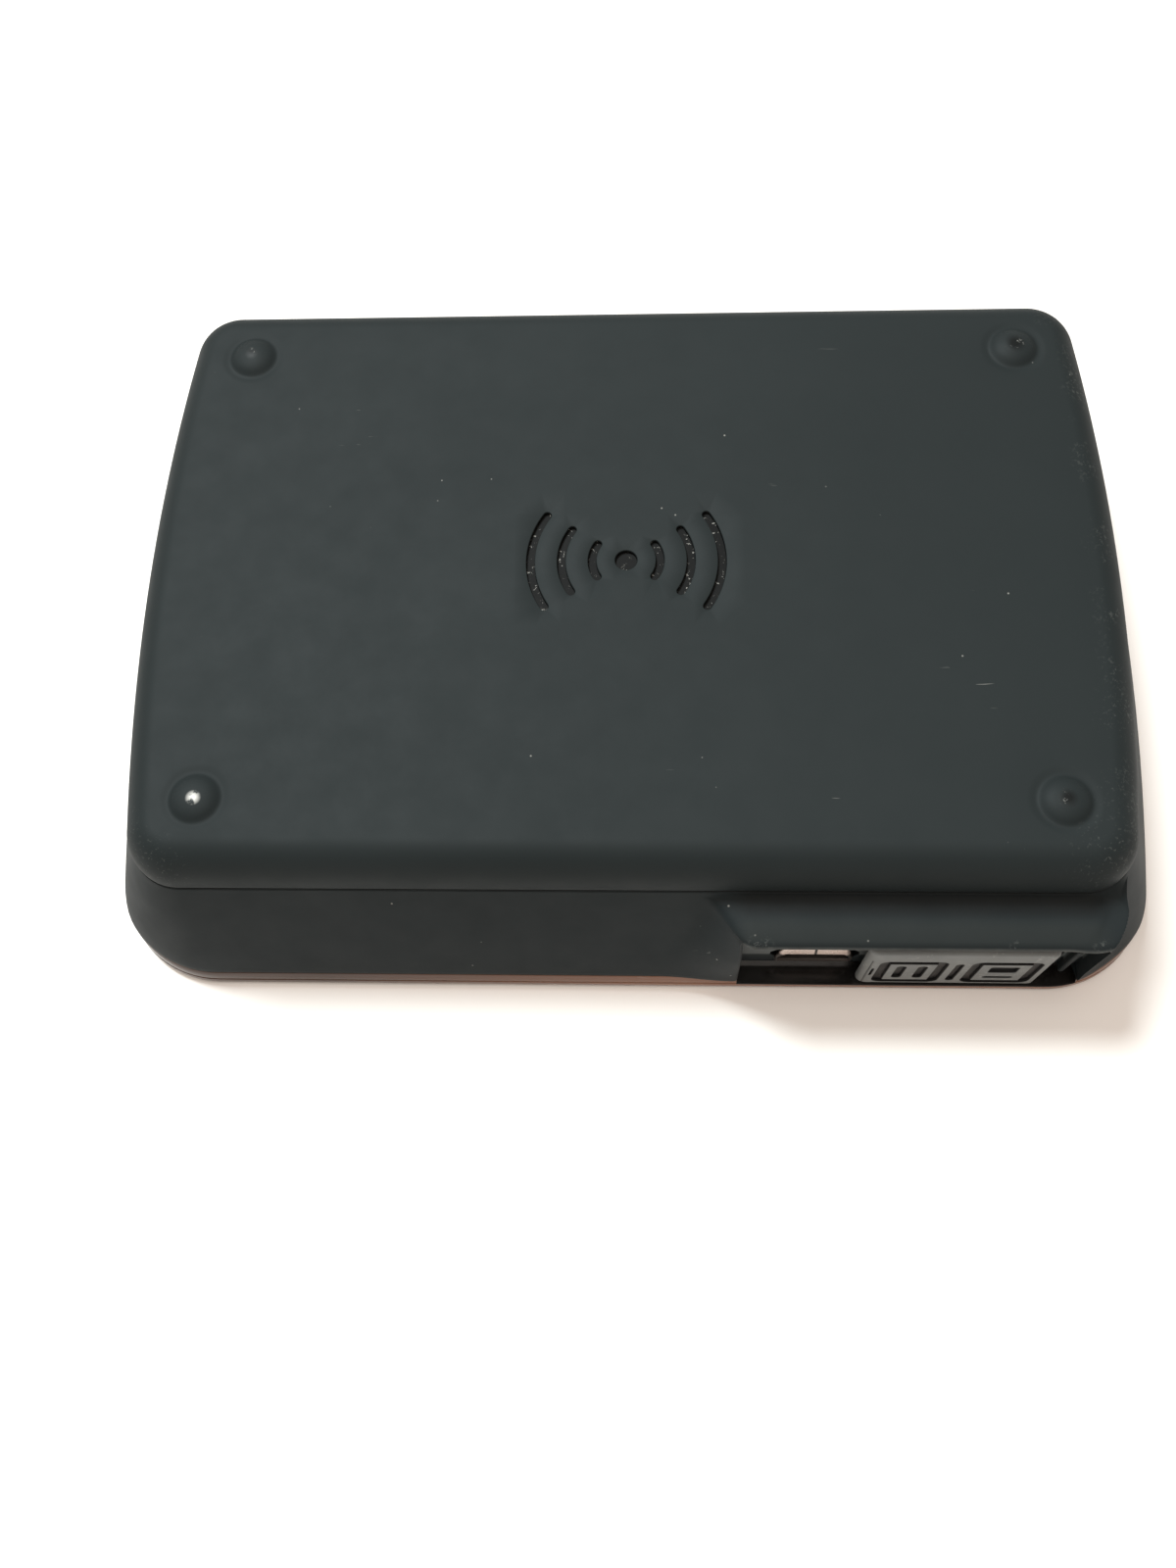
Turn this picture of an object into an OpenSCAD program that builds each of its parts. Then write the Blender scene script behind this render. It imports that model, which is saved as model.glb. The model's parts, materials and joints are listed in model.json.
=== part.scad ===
// Pocket mobile hotspot lying face down: back cover up, display and keys underneath.
// Z = 0 is the front face, -Y is the long side with the ports, +X is to the right.
// The origin is the centre of the front face.

/* [Body] */
// Width across the widest part of the bowed short sides
body_w = 107; // [106:0.5:109]
// Depth between the straight long sides
body_d = 74.4; // [74:0.2:76]
// Height from the front face to the flat of the back cover
body_h = 20.5; // [20.3:0.1:22]
// How far the short sides bow outward
side_bow = 2.85; // [2.5:0.05:3.2]
// Corner radius of the widest outline
corner_r = 10.6; // [10.4:0.1:12]
// Height of the seam between the front frame and the housing
rim_z = 2.5; // [2.4:0.05:2.6]
// Height of the seam under the back cover
seam_z = 15.5; // [15.3:0.1:15.8]
// How far the walls lean in between the rim and the cover seam
wall_lean = 5.3; // [5:0.1:5.5]
// Wall thickness of the housing
wall_t = 1.5; // [1.2:0.1:1.7]
// Gap along every seam between two shells
seam_gap = 0.12; // [0.08:0.01:0.16]

/* [Back cover] */
// Horizontal reach of the rounded upper edge
cover_round = 3.45; // [3.2:0.05:3.6]
// Thickness of the cover
cover_t = 1.4; // [1.2:0.1:1.5]
// Distance of the rest bumps from the centre along X
foot_x = 39.35; // [38:0.05:40]
// Distance of the rest bumps from the centre along Y
foot_y = 24.75; // [24:0.05:25.5]
// Base diameter of a rest bump
foot_d = 4.8; // [4.4:0.1:5.2]
// Height of a rest bump
foot_h = 0.75; // [0.6:0.05:0.9]

/* [Port opening] */
// Left end of the opening
port_x0 = 11; // [10.8:0.1:11.2]
// Right end of the opening
port_x1 = 44.3; // [44.2:0.1:44.6]
// Floor of the opening, on the front frame
port_z0 = 1.3; // [1.2:0.05:1.4]
// Lower edge of the hood over the opening
port_z1 = 13.6; // [13.4:0.1:13.8]
// Depth of the recess behind the opening
port_depth = 2.2; // [2.1:0.05:2.3]
// Width of the sliding door
door_w = 17.3; // [17:0.1:17.4]
// Left edge of the door where it rests
door_x = 22.7; // [22.6:0.1:22.8]

/* [Battery and card] */
// Width of the battery pack
battery_w = 67; // [65:0.5:67]
// Depth of the battery pack
battery_d = 47; // [45:0.5:47]
// Thickness of the battery pack
battery_t = 7.8; // [7:0.1:7.8]
// Length of the subscriber card
card_l = 15; // [14.8:0.1:15]
// Width of the subscriber card
card_w = 12; // [11.8:0.1:12]

/* [Display and keys] */
// Width of the display window
lens_w = 64; // [62:0.5:65]
// Depth of the display window
lens_d = 48; // [46:0.5:48]
// Distance between neighbouring front keys
key_pitch = 18; // [16:0.5:19]
// Width of a front key
key_w = 12; // [11:0.5:13]
// How far a key sinks when it is pressed
key_travel = 0.35; // [0.3:0.05:0.35]

/* [Hidden] */
$fn = 48;

// Outline of the body: two straight long sides, two bowed short sides, round corners.
half_w = body_w / 2;
half_d = body_d / 2;
side_r = (half_d * half_d + side_bow * side_bow) / (2 * side_bow);
side_cx = half_w - side_r;
corner_a = asin((half_d - corner_r) / (side_r - corner_r));
corner_x = side_cx + (side_r - corner_r) * cos(corner_a);
corner_y = half_d - corner_r;
side_steps = 5;
corner_steps = 9;
slab_t = 0.02;
cut = 1;

function quadrant(i) = concat(
  [for (k = [0:side_steps]) let (a = corner_a * k / side_steps)
    [side_cx + (side_r - i) * cos(a), (side_r - i) * sin(a)]],
  [for (k = [1:corner_steps]) let (a = corner_a + (90 - corner_a) * k / corner_steps)
    [corner_x + (corner_r - i) * cos(a), corner_y + (corner_r - i) * sin(a)]]);
function turned(points, sx, sy, from, step, to) =
  [for (k = [from:step:to]) [sx * points[k][0], sy * points[k][1]]];
// The whole outline, moved inward by i.
function outline(i) = let (q = quadrant(i), last = len(q) - 1) concat(
  turned(q, 1, 1, 0, 1, last), turned(q, -1, 1, last, -1, 0),
  turned(q, -1, -1, 1, 1, last), turned(q, 1, -1, last, -1, 1));
function arc(cx, cy, r, a0, a1, steps) =
  [for (k = [0:steps]) let (a = a0 + (a1 - a0) * k / steps) [cx + r * cos(a), cy + r * sin(a)]];
function round_rect(w, d, r) = concat(
  arc(w / 2 - r, d / 2 - r, r, 0, 90, 6), arc(r - w / 2, d / 2 - r, r, 90, 180, 6),
  arc(r - w / 2, r - d / 2, r, 180, 270, 6), arc(w / 2 - r, r - d / 2, r, 270, 360, 6));

// Inset of the outer wall at height z, between the rim and the cover seam.
lean_power = 1.12;
function wall_inset(z) = wall_lean * pow((z - rim_z) / (seam_z - rim_z), lean_power);
wall_levels = [0, 0.3, 0.65, 1];

module slab(z, i) translate([0, 0, z]) linear_extrude(slab_t) polygon(outline(i));
module tier(z0, z1, i) translate([0, 0, z0]) linear_extrude(z1 - z0) polygon(outline(i));
module plate(x, y, z0, z1, w, d, r)
  translate([x, y, z0]) linear_extrude(z1 - z0) polygon(round_rect(w, d, r));
module block(x0, y0, z0, x1, y1, z1)
  translate([x0, y0, z0]) cube([x1 - x0, y1 - y0, z1 - z0]);
// Hollow box open towards +Z, with walls of thickness t.
module can(x, y, z0, z1, w, d, t) difference() {
  plate(x, y, z0, z1, w, d, 2 * t);
  plate(x, y, z0 + t, z1 + cut, w - 2 * t, d - 2 * t, t);
}

// Heights, from the front face up.
lens_z = 0.25;
lens_t = 0.8;
tape_t = 0.1;
ledge_z = lens_z + lens_t + tape_t;
gasket_t = 0.3;
panel_z = ledge_z + gasket_t;
panel_t = 2.15;
bracket_z = panel_z + panel_t + 0.1;
bracket_t = 0.3;
shield_z = 4.5;
board_z = 6.9;
board_t = 1;
board_top = board_z + board_t;
floor_t = 0.9;
floor_z = 9.4;
bay_z = floor_z + floor_t;
lip_depth = 1.5;

// Insets of the joint between the cover and the housing, from the rim outline.
bay_inset = wall_lean + 2.6;
rebate_inset = wall_lean + 1.1;
lip_inset = rebate_inset + 0.2;
lip_t = 1.2;

// Screws: near left, near middle, near right, far left and far right.
screw_y = 26.3;
screw_xy = [[-40, -screw_y], [-8, -screw_y], [25.3, -screw_y], [-40, screw_y], [40, screw_y]];
screw_r = 0.8;
screw_head_r = 1.5;
screw_head_t = 1;
post_r = 2.3;
pilot_r = 0.65;
screw_tip_z = 3.2;

// Port side.
recess_y = -half_d + port_depth;
inner_y = recess_y + 1.2;
hood_x0 = port_x0 - 2.2;
hood_x1 = port_x1 + 1.2;
hood_left_r = 3.4;
hood_right_r = 1.6;
hood_top = seam_z - 0.4;
hood_face_y = -half_d + 0.1;
hood_nose_x = 1.6;
hood_back_y = -half_d + wall_lean + 0.9;
door_t = 0.95;
door_z0 = port_z0 + 0.2;
door_z1 = 12.7;
door_y = hood_face_y + 0.15;
track_z = 9.8;
track_h = 1.2;
track_depth = 1;
guide_w = 3;

// Micro-USB socket: the narrow side of its mouth faces the back cover.
micro_x = 18.4;
micro_w = 7.5;
micro_top_w = 5.8;
micro_z0 = 3.1;
micro_h = 2.85;
micro_depth = 5.2;
metal_t = 0.3;

// Full-size USB-A socket.
usb_x = 35.25;
usb_w = 13.1;
usb_h = 5.7;
usb_z0 = 2.7;
usb_depth = 11;
usb_tongue_w = 11.1;
usb_tongue_t = 1.84;
usb_tongue_z = usb_z0 + 3.3;

// Front keys and the side power key.
key_y = 28;
key_d = 5;
key_r = 1.4;
key_z = 0.3;
key_flange_z = 1.5;
key_flange_t = 0.55;
key_flange = 0.8;
key_play = 0.2;
key_list_x = [-key_pitch, 0, key_pitch];
power_x = 30;
power_z = 6.2;
power_w = 10;
power_h = 2.4;
power_y1 = half_d - wall_inset(power_z) + 0.35;
power_y0 = half_d - wall_inset(power_z) - 2.6;
wall_angle = atan(wall_lean / (seam_z - rim_z));

// Battery and card positions.
battery_x = -8.5;
battery_z = bay_z + 0.15;
battery_top = battery_z + battery_t;
rib_x = battery_x + battery_w / 2 + 0.5;
rib_t = 1.2;
contact_x = -9;
contact_w = 10;
card_x = 36;
card_y0 = -19.5;
card_z = bay_z + 0.45;
card_t = 0.76;
holder_y0 = -20.5;
holder_y1 = -6;
holder_w = card_w + 2.4;
holder_t = 0.25;
cushion_t = 0.6;

// ---- Shells ----

module body_hull(extra) hull()
  for (level = wall_levels) let (z = rim_z + (seam_z - rim_z) * level)
    slab(z, wall_inset(z) + extra);

module hood() {
  nose = concat([[hood_back_y, rim_z], [hood_face_y, rim_z]],
    arc(hood_face_y + hood_nose_x, hood_top - hood_nose_x, hood_nose_x, 180, 90, 8),
    [[hood_back_y, hood_top]]);
  intersection() {
    translate([hood_x0, 0, 0]) rotate([90, 0, 90])
      linear_extrude(hood_x1 - hood_x0) polygon(nose);
    translate([0, hood_back_y, 0]) rotate([90, 0, 0]) linear_extrude(body_d)
      polygon(concat([[hood_x1, rim_z]],
        arc(hood_x1 - hood_right_r, hood_top - hood_right_r, hood_right_r, 0, 90, 6),
        arc(hood_x0 + hood_left_r, hood_top - hood_left_r, hood_left_r, 90, 180, 8),
        [[hood_x0, rim_z]]));
    tier(rim_z, seam_z, 0);
  }
}

module housing_posts(z0, z1, r) for (p = screw_xy)
  translate([p[0], p[1], z0]) cylinder(h = z1 - z0, r = r);

module port_cuts() {
  // recess in front of the sockets
  block(port_x0, -half_d - cut, rim_z - cut, port_x1, recess_y, port_z1);
  // room for the board behind the recess wall
  block(hood_x0 - 0.5, inner_y, rim_z - cut, port_x1, hood_back_y + cut, floor_z);
  // windows for the two sockets
  block(micro_x - micro_w / 2 - 0.5, -half_d, micro_z0 - 0.6,
    micro_x + micro_w / 2 + 0.5, inner_y + cut, micro_z0 + micro_h + 0.5);
  block(usb_x - usb_w / 2 - 0.2, -half_d, usb_z0 - cut,
    usb_x + usb_w / 2 + 0.2, inner_y + cut, usb_z0 + usb_h + 0.2);
  // groove that guides the door
  block(port_x0, recess_y - cut, track_z, port_x1, recess_y + track_depth, track_z + track_h);
}

module main_housing() color("#2b3032") difference() {
  union() {
    difference() {
      body_hull(0);
      intersection() {
        body_hull(wall_t);
        tier(0, floor_z, 0);
      }
      tier(rim_z - cut, rim_z + slab_t, wall_t);
      tier(bay_z, seam_z + cut, bay_inset);
      tier(seam_z - lip_depth - 0.1, seam_z + cut, rebate_inset);
    }
    hood();
    // screw posts and the raised seats for the screw heads
    housing_posts(board_top + 0.2, bay_z + 0.6, post_r);
    // rib between the battery and the card, and the two short ribs that steady the battery
    block(rib_x, -battery_d / 2, bay_z - 0.1, rib_x + rib_t, battery_d / 2, bay_z + 2.4);
    for (side = [-1, 1]) for (x = [-30, 12])
      block(x, side * (battery_d / 2 + 1) - 0.5, bay_z - 0.1,
        x + 6, side * (battery_d / 2 + 1) + 0.5, bay_z + 3);
  }
  port_cuts();
  housing_posts(0, bay_z + 2, screw_r + 0.1);
  // window for the side key
  translate([power_x, half_d, power_z]) cube([power_w + 0.4, 12, power_h + 0.5], center = true);
  // window for the battery contact block
  block(contact_x - contact_w / 2 - 0.2, battery_d / 2 + 0.1, floor_z - cut,
    contact_x + contact_w / 2 + 0.2, battery_d / 2 + 3.6, bay_z + cut);
}

module cover_hull(inset, z0, rise, reach) hull() {
  steps = 6;
  for (k = [0:steps]) let (a = 90 * k / steps)
    slab(z0 + rise * sin(a) - (k == steps ? slab_t : 0), inset + reach * (1 - cos(a)));
}

module back_cover() color("#3e4446") {
  z0 = seam_z + seam_gap;
  difference() {
    union() {
      cover_hull(wall_lean, z0, body_h - z0, cover_round);
      tier(seam_z - lip_depth, seam_z + 2, lip_inset);
    }
    cover_hull(lip_inset + lip_t, z0, body_h - z0 - cover_t, cover_round - cover_t);
    tier(seam_z - lip_depth - cut, z0 + 2 * slab_t, lip_inset + lip_t);
  }
  for (sx = [-1, 1]) for (sy = [-1, 1]) translate([sx * foot_x, sy * foot_y, body_h]) foot();
  // shallow snap bumps on the lip
  for (sy = [-1, 1]) for (x = [-32, -2, 28])
    block(x - 3, sy * (half_d - lip_inset) - 0.12, seam_z - 1.2,
      x + 3, sy * (half_d - lip_inset) + 0.12, seam_z - 0.6);
}

// A dome: the top of a sphere that is as wide as the foot at its base.
module foot() {
  r = (foot_d * foot_d / 4 + foot_h * foot_h) / (2 * foot_h);
  intersection() {
    translate([0, 0, foot_h - r]) sphere(r = r);
    translate([0, 0, -0.1]) cylinder(h = foot_h + cut, r = foot_d / 2);
  }
}

module front_frame() color("#141312") difference() {
  union() {
    hull() {
      slab(0, 1.1);
      slab(0.4, 0.4);
      slab(1, 0.08);
      slab(rim_z - seam_gap - slab_t, 0);
    }
    // locating ring inside the housing, open behind the ports
    difference() {
      tier(rim_z - seam_gap - 0.1, rim_z + 1.1, wall_t + 0.6);
      tier(0, rim_z + 2, wall_t + 1.6);
      block(hood_x0, -half_d, 0, hood_x1, -half_d + wall_t + 4, rim_z + 2);
    }
    for (p = screw_xy) translate([p[0], p[1], ledge_z])
      cylinder(h = board_z - 0.2 - ledge_z, r = post_r);
  }
  plate(0, display_y, -cut, ledge_z, lens_w + 0.2, lens_d + 0.2, 2.1);
  plate(0, display_y, 0, rim_z + cut, panel_w + 0.4, panel_d + 0.4, 0.8);
  block(port_x0, -half_d - cut, port_z0, port_x1, recess_y, rim_z + cut);
  for (x = key_list_x) {
    plate(x, key_y, -cut, rim_z + cut, key_w + 2 * key_play, key_d + 2 * key_play,
      key_r + key_play);
    plate(x, key_y, key_flange_z - 0.2, rim_z + cut, key_w + 2 * (key_flange + key_play),
      key_d + 2 * (key_flange + key_play), key_r);
  }
  translate([light_x, key_y, -cut]) cylinder(h = rim_z + 2 * cut, r = light_r + 0.05);
  for (p = screw_xy) translate([p[0], p[1], ledge_z + 1]) cylinder(h = board_z, r = pilot_r);
}

module port_door() color("#6e7274") difference() {
  union() {
    translate([door_x + door_w / 2, door_y + door_t, (door_z0 + door_z1) / 2]) rotate([90, 0, 0])
      linear_extrude(door_t) polygon(round_rect(door_w, door_z1 - door_z0, 0.5));
    for (x = [door_x + 1.5, door_x + door_w - 1.5 - guide_w])
      block(x, door_y + door_t - 0.1, track_z + 0.2, x + guide_w,
        recess_y + track_depth - 0.25, track_z + track_h - 0.2);
  }
  // two shallow pictogram fields and the dividing groove between them
  for (x = [0.27, 0.76]) translate([door_x + door_w * x, door_y + 0.3, 7]) rotate([90, 0, 0])
    linear_extrude(cut) polygon(round_rect(5.4, 5.2, 0.8));
  block(door_x + door_w * 0.51 - 0.35, door_y - cut, 4, door_x + door_w * 0.51 + 0.35,
    door_y + 0.3, 10);
}

module housing_screws() color("#8e9194") for (p = screw_xy) translate([p[0], p[1], 0]) {
  head_z = bay_z + 0.62;
  difference() {
    union() {
      translate([0, 0, screw_tip_z]) cylinder(h = head_z - screw_tip_z + 0.1, r = pilot_r - 0.02);
      translate([0, 0, head_z]) cylinder(h = screw_head_t, r = screw_head_r);
    }
    for (turn = [0, 90]) rotate(turn) translate([0, 0, head_z + screw_head_t])
      cube([1.7, 0.45, 1], center = true);
  }
}

// ---- Display ----

display_y = -1.5;
panel_w = 57;
panel_d = 43;
view_w = 50;
view_d = 37.6;

module display_lens() color("#1b1e22", 0.6)
  plate(0, display_y, lens_z, lens_z + lens_t, lens_w, lens_d, 2);
module lens_adhesive() color("#101010") difference() {
  plate(0, display_y, lens_z + lens_t, ledge_z, lens_w - 0.6, lens_d - 0.6, 1.7);
  plate(0, display_y, 0, panel_z, panel_w + 0.8, panel_d + 0.8, 0.8);
}
module display_gasket() color("#181818") difference() {
  plate(0, display_y, ledge_z - 0.08, panel_z, panel_w, panel_d, 0.6);
  plate(0, display_y, 0, panel_z + cut, view_w + 1, view_d + 1, 0.5);
}
module display_panel() color("#2a3340") union() {
  plate(0, display_y, panel_z, panel_z + panel_t, panel_w, panel_d, 0.5);
  plate(0, display_y, panel_z - 0.12, panel_z + 0.1, view_w, view_d, 0.3);
}
module display_bracket() color("#a9adb0") difference() {
  union() {
    plate(0, display_y, bracket_z, bracket_z + bracket_t, panel_w + 2.4, panel_d + 1.4, 1);
    for (sx = [-1, 1]) for (y = [-14, 8])
      block(sx * (panel_w / 2 + 2.2) - 2.2, y - 3, bracket_z, sx * (panel_w / 2 + 2.2) + 2.2,
        y + 3, bracket_z + bracket_t);
  }
  for (x = [-20, 20]) translate([x, display_y, 0]) cylinder(h = board_z, r = 2.5);
}
flex_t = 0.12;
flex_x = -1;
flex_w = 10;
module display_flex() color("#b4762e") {
  y0 = display_y - panel_d / 2;
  z0 = bracket_z + bracket_t + 0.1;
  x1 = flex_x + flex_w;
  block(flex_x, y0 - 3, z0, x1, y0 + 4, z0 + flex_t);
  block(flex_x, y0 - 3, z0, x1, y0 - 3 + flex_t, board_z - 0.4);
  block(flex_x, y0 - 3, board_z - 0.4 - flex_t, x1, y0, board_z - 0.4);
}
module flex_connector() color("#d8d2c4") {
  y0 = display_y - panel_d / 2;
  block(flex_x - 0.6, y0, board_z - 0.9, flex_x + flex_w + 0.6, y0 + 3.4, board_z);
}

// ---- Front keys ----

module key(x) {
  plate(x, key_y, key_z, key_flange_z + 0.1, key_w, key_d, key_r);
  plate(x, key_y, key_flange_z, key_flange_z + key_flange_t, key_w + 2 * key_flange,
    key_d + 2 * key_flange, key_r);
}
module key_left() color("#1d1d1e") key(key_list_x[0]);
module key_home() color("#1d1d1e") key(key_list_x[1]);
module key_right() color("#1d1d1e") key(key_list_x[2]);
membrane_z = key_flange_z + key_flange_t + key_travel + 0.1;
membrane_t = 0.4;
dome_t = 0.3;
key_board_z = membrane_z + membrane_t + dome_t + 0.05;
module keypad_membrane() color("#c9c9c4")
  plate(0, key_y, membrane_z, membrane_z + membrane_t, 2 * key_pitch + 16, 7.4, 1);
module key_domes() color("#c7c9cb") for (x = key_list_x)
  translate([x, key_y, membrane_z + membrane_t]) cylinder(h = dome_t, r1 = 1.2, r2 = 2.3);
module key_board() color("#1f5a38")
  plate(0, key_y, key_board_z, key_board_z + 0.6, 2 * key_pitch + 16, 7.4, 1);
module key_flex() color("#b4762e") {
  x0 = 11;
  z0 = key_board_z + 0.6;
  block(x0 - 4, key_y - 2, z0, x0 + 4, key_y + 5, z0 + flex_t);
  block(x0 - 4, key_y + 5 - flex_t, z0, x0 + 4, key_y + 5, board_top + 0.1);
  block(x0 - 4, key_y + 1, board_top, x0 + 4, key_y + 5, board_top + flex_t);
}
light_x = 31.5;
light_r = 0.8;
module light_pipe() color("#dfe7ea", 0.7) {
  translate([light_x, key_y, 0.2]) cylinder(h = 4, r = light_r);
  translate([light_x, key_y, rim_z + 0.1]) cylinder(h = 1, r = 1.4);
}
module status_led() color("#efe9c8")
  block(light_x - 0.8, key_y - 0.5, board_z - 0.7, light_x + 0.8, key_y + 0.5, board_z);

// ---- Side power key ----

module power_key() color("#2f3436") {
  translate([power_x, (power_y0 + power_y1) / 2, power_z])
    rotate([-wall_angle / 2, 0, 0])
      cube([power_w, power_y1 - power_y0, power_h - 0.5], center = true);
  block(power_x - power_w / 2 - 0.9, power_y0 - 0.6, power_z - 1.7,
    power_x + power_w / 2 + 0.9, power_y0 + 0.3, power_z + 1.7);
}
module power_switch() color("#3a3a3a") {
  back_y = power_y0 - 0.6 - 0.5;
  block(power_x - 3, back_y - 3.2, board_z - 2, power_x + 3, back_y - 0.6, board_z);
  block(power_x - 1, back_y - 0.7, board_z - 1.5, power_x + 1, back_y, board_z - 0.5);
}

// ---- Boards and chips ----

board_w = 88;
board_y0 = inner_y + 0.5;
board_y1 = 30.6;
module main_board() color("#1d5c3a") difference() {
  plate(0, (board_y0 + board_y1) / 2, board_z, board_top, board_w, board_y1 - board_y0, 3);
  housing_posts(0, board_top + cut, screw_r + 0.5);
  block(usb_x - usb_w / 2 - 0.3, board_y0 - cut, 0, usb_x + usb_w / 2 + 0.3,
    recess_y + usb_depth + 0.5, board_top + cut);
  for (x = [-36, 20]) translate([x, 18, 0]) cylinder(h = board_top + cut, r = 1);
}

shield_t = 0.2;
module shield(x, y, w, d) can(x, y, shield_z, board_z, w, d, shield_t);
module modem_shield() color("#b9bcbe") shield(-24, -3, 28, 28);
module radio_shield() color("#b9bcbe") shield(5, -3, 24, 28);
module power_shield() color("#b9bcbe") shield(31, -3, 20, 22);
module chip(x, y, size, t) plate(x, y, board_z - t, board_z, size, size, 0.3);
module modem_chip() color("#1a1b1d") chip(-30.2, -4, 13, 1.1);
module processor_chip() color("#1a1b1d") chip(-16.8, 2, 11, 1);
module radio_chip() color("#1a1b1d") chip(5, -2, 9, 0.9);
module power_chip() color("#1a1b1d") chip(31, -3, 7, 0.9);
module thermal_pad() color("#8fa3b5")
  plate(-20, -3, bracket_z + bracket_t, shield_z, 16, 18, 1);

// ---- Sockets ----

function micro_profile(t) = [
  [-micro_w / 2 + t, t], [micro_w / 2 - t, t], [micro_w / 2 - t, 1.4 - t / 4],
  [micro_top_w / 2 - t / 2, micro_h - t], [t / 2 - micro_top_w / 2, micro_h - t],
  [t - micro_w / 2, 1.4 - t / 4]];
module along_y(x, y0, y1, z) translate([x, y1, z]) rotate([90, 0, 0]) linear_extrude(y1 - y0)
  children();
module micro_usb_shell() color("#c3bdb8") {
  difference() {
    along_y(micro_x, recess_y - 0.1, recess_y + micro_depth, micro_z0)
      polygon(micro_profile(0));
    along_y(micro_x, recess_y - cut, recess_y + micro_depth - metal_t, micro_z0)
      polygon(micro_profile(metal_t));
  }
  // legs up to the board
  for (side = [-1, 1]) translate([micro_x + side * (micro_w / 2 - metal_t / 2), board_y0 + 0.8,
    (micro_z0 + 1 + board_z) / 2]) cube([metal_t, 1.4, board_z - micro_z0 - 1], center = true);
}
module micro_usb_tongue() color("#15161a") {
  end_y = recess_y + micro_depth - metal_t;
  block(micro_x - 1.9, recess_y + 0.6, micro_z0 + 1.1, micro_x + 1.9, end_y, micro_z0 + 1.75);
  block(micro_x - 2.5, end_y - 1.2, micro_z0 + metal_t, micro_x + 2.5, end_y,
    micro_z0 + micro_h - metal_t);
}
module usb_a_shell() color("#c6c8ca") difference() {
  along_y(usb_x, recess_y + 0.1, recess_y + usb_depth, usb_z0 + usb_h / 2)
    polygon(round_rect(usb_w, usb_h, 0.5));
  along_y(usb_x, recess_y - cut, recess_y + usb_depth - metal_t, usb_z0 + usb_h / 2)
    polygon(round_rect(usb_w - 2 * metal_t, usb_h - 2 * metal_t, 0.3));
}
module usb_a_tongue() color("#e9e9e6") {
  end_y = recess_y + usb_depth - metal_t;
  block(usb_x - usb_tongue_w / 2, recess_y + 0.8, usb_tongue_z, usb_x + usb_tongue_w / 2, end_y,
    usb_tongue_z + usb_tongue_t);
  fill = metal_t + 0.1;
  block(usb_x - usb_w / 2 + fill, end_y - 1.6, usb_z0 + fill, usb_x + usb_w / 2 - fill,
    end_y, usb_z0 + usb_h - fill);
}

// ---- Battery bay ----

contact_h = 2.4;
module battery_pack() color("#23262b") difference() {
  plate(battery_x, 0, battery_z, battery_top, battery_w, battery_d, 1.2);
  plate(battery_x - 1, 0, battery_top - label_t, battery_top + cut, label_w, label_d, 0.5);
  block(contact_x - contact_w / 2, battery_d / 2 - contact_t, battery_z + 0.8,
    contact_x + contact_w / 2, battery_d / 2 + cut, battery_z + 0.8 + contact_h);
}
label_t = 0.1;
label_w = 54;
label_d = 38;
contact_t = 0.3;
module battery_label() color("#d9d9d4")
  plate(battery_x - 1, 0, battery_top - label_t, battery_top, label_w, label_d, 0.5);
module battery_contacts() color("#d8b15a") for (k = [0:3]) {
  x = contact_x - contact_w / 2 + 0.5 + k * 2.4;
  block(x, battery_d / 2 - contact_t, battery_z + 0.9, x + 1.8, battery_d / 2 - 0.05,
    battery_z + 0.7 + contact_h);
}
module battery_connector() color("#1c1c1e") {
  y0 = battery_d / 2 + 0.5;
  difference() {
    block(contact_x - contact_w / 2, y0, board_top, contact_x + contact_w / 2, y0 + 2.8,
      battery_z + contact_h + 1);
    for (k = [0:3]) let (x = contact_x - contact_w / 2 + 0.9 + k * 2.4)
      block(x, y0 - cut, battery_z + 0.9, x + 1, y0 + 1, battery_z + contact_h + 1 + cut);
  }
}
module card_holder() color("#b7babd") difference() {
  block(card_x - holder_w / 2, holder_y0, bay_z, card_x + holder_w / 2, holder_y1,
    card_z + card_t + 0.2 + holder_t);
  block(card_x - card_w / 2 - 0.15, holder_y0 + 0.6, bay_z + holder_t,
    card_x + card_w / 2 + 0.15, holder_y1 + cut, card_z + card_t + 0.2);
  plate(card_x, (holder_y0 + holder_y1) / 2, card_z, card_z + 2 * cut, 6, 8, 1);
}
module sim_card() color("#e8e4da") translate([card_x, card_y0 + card_l / 2, card_z])
  linear_extrude(card_t) polygon([
    [-card_w / 2, -card_l / 2], [card_w / 2 - 2, -card_l / 2], [card_w / 2, 2 - card_l / 2],
    [card_w / 2, card_l / 2], [-card_w / 2, card_l / 2]]);
module bay_label() color("#e6e6e2")
  plate(battery_x, 0, bay_z, bay_z + 0.1, 44, 26, 0.5);

// ---- Antennas ----

carrier_x0 = 45;
carrier_x1 = 48;
carrier_y = 19;
carrier_z0 = 4.7;
carrier_z1 = 8.2;
foil_t = 0.15;
module carrier(side) {
  x0 = side > 0 ? carrier_x0 : -carrier_x1;
  block(x0, -carrier_y, carrier_z0, x0 + carrier_x1 - carrier_x0, carrier_y, carrier_z1);
}
module antenna_foil(side) {
  x0 = side > 0 ? carrier_x1 : -carrier_x1 - foil_t;
  xs = side > 0 ? carrier_x0 : -carrier_x1;
  for (y = [-carrier_y + 1, 2])
    block(x0, y, carrier_z0 + 0.3, x0 + foil_t, y + carrier_y - 4, carrier_z1 + foil_t);
  block(x0, -carrier_y + 1, carrier_z0 + 0.3, x0 + foil_t, carrier_y - 2, carrier_z0 + 1.3);
  block(xs, 4, carrier_z1, xs + carrier_x1 - carrier_x0 + 0.01, 8, carrier_z1 + foil_t);
}
module antenna_carrier_left() color("#3c3f42") carrier(-1);
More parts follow.
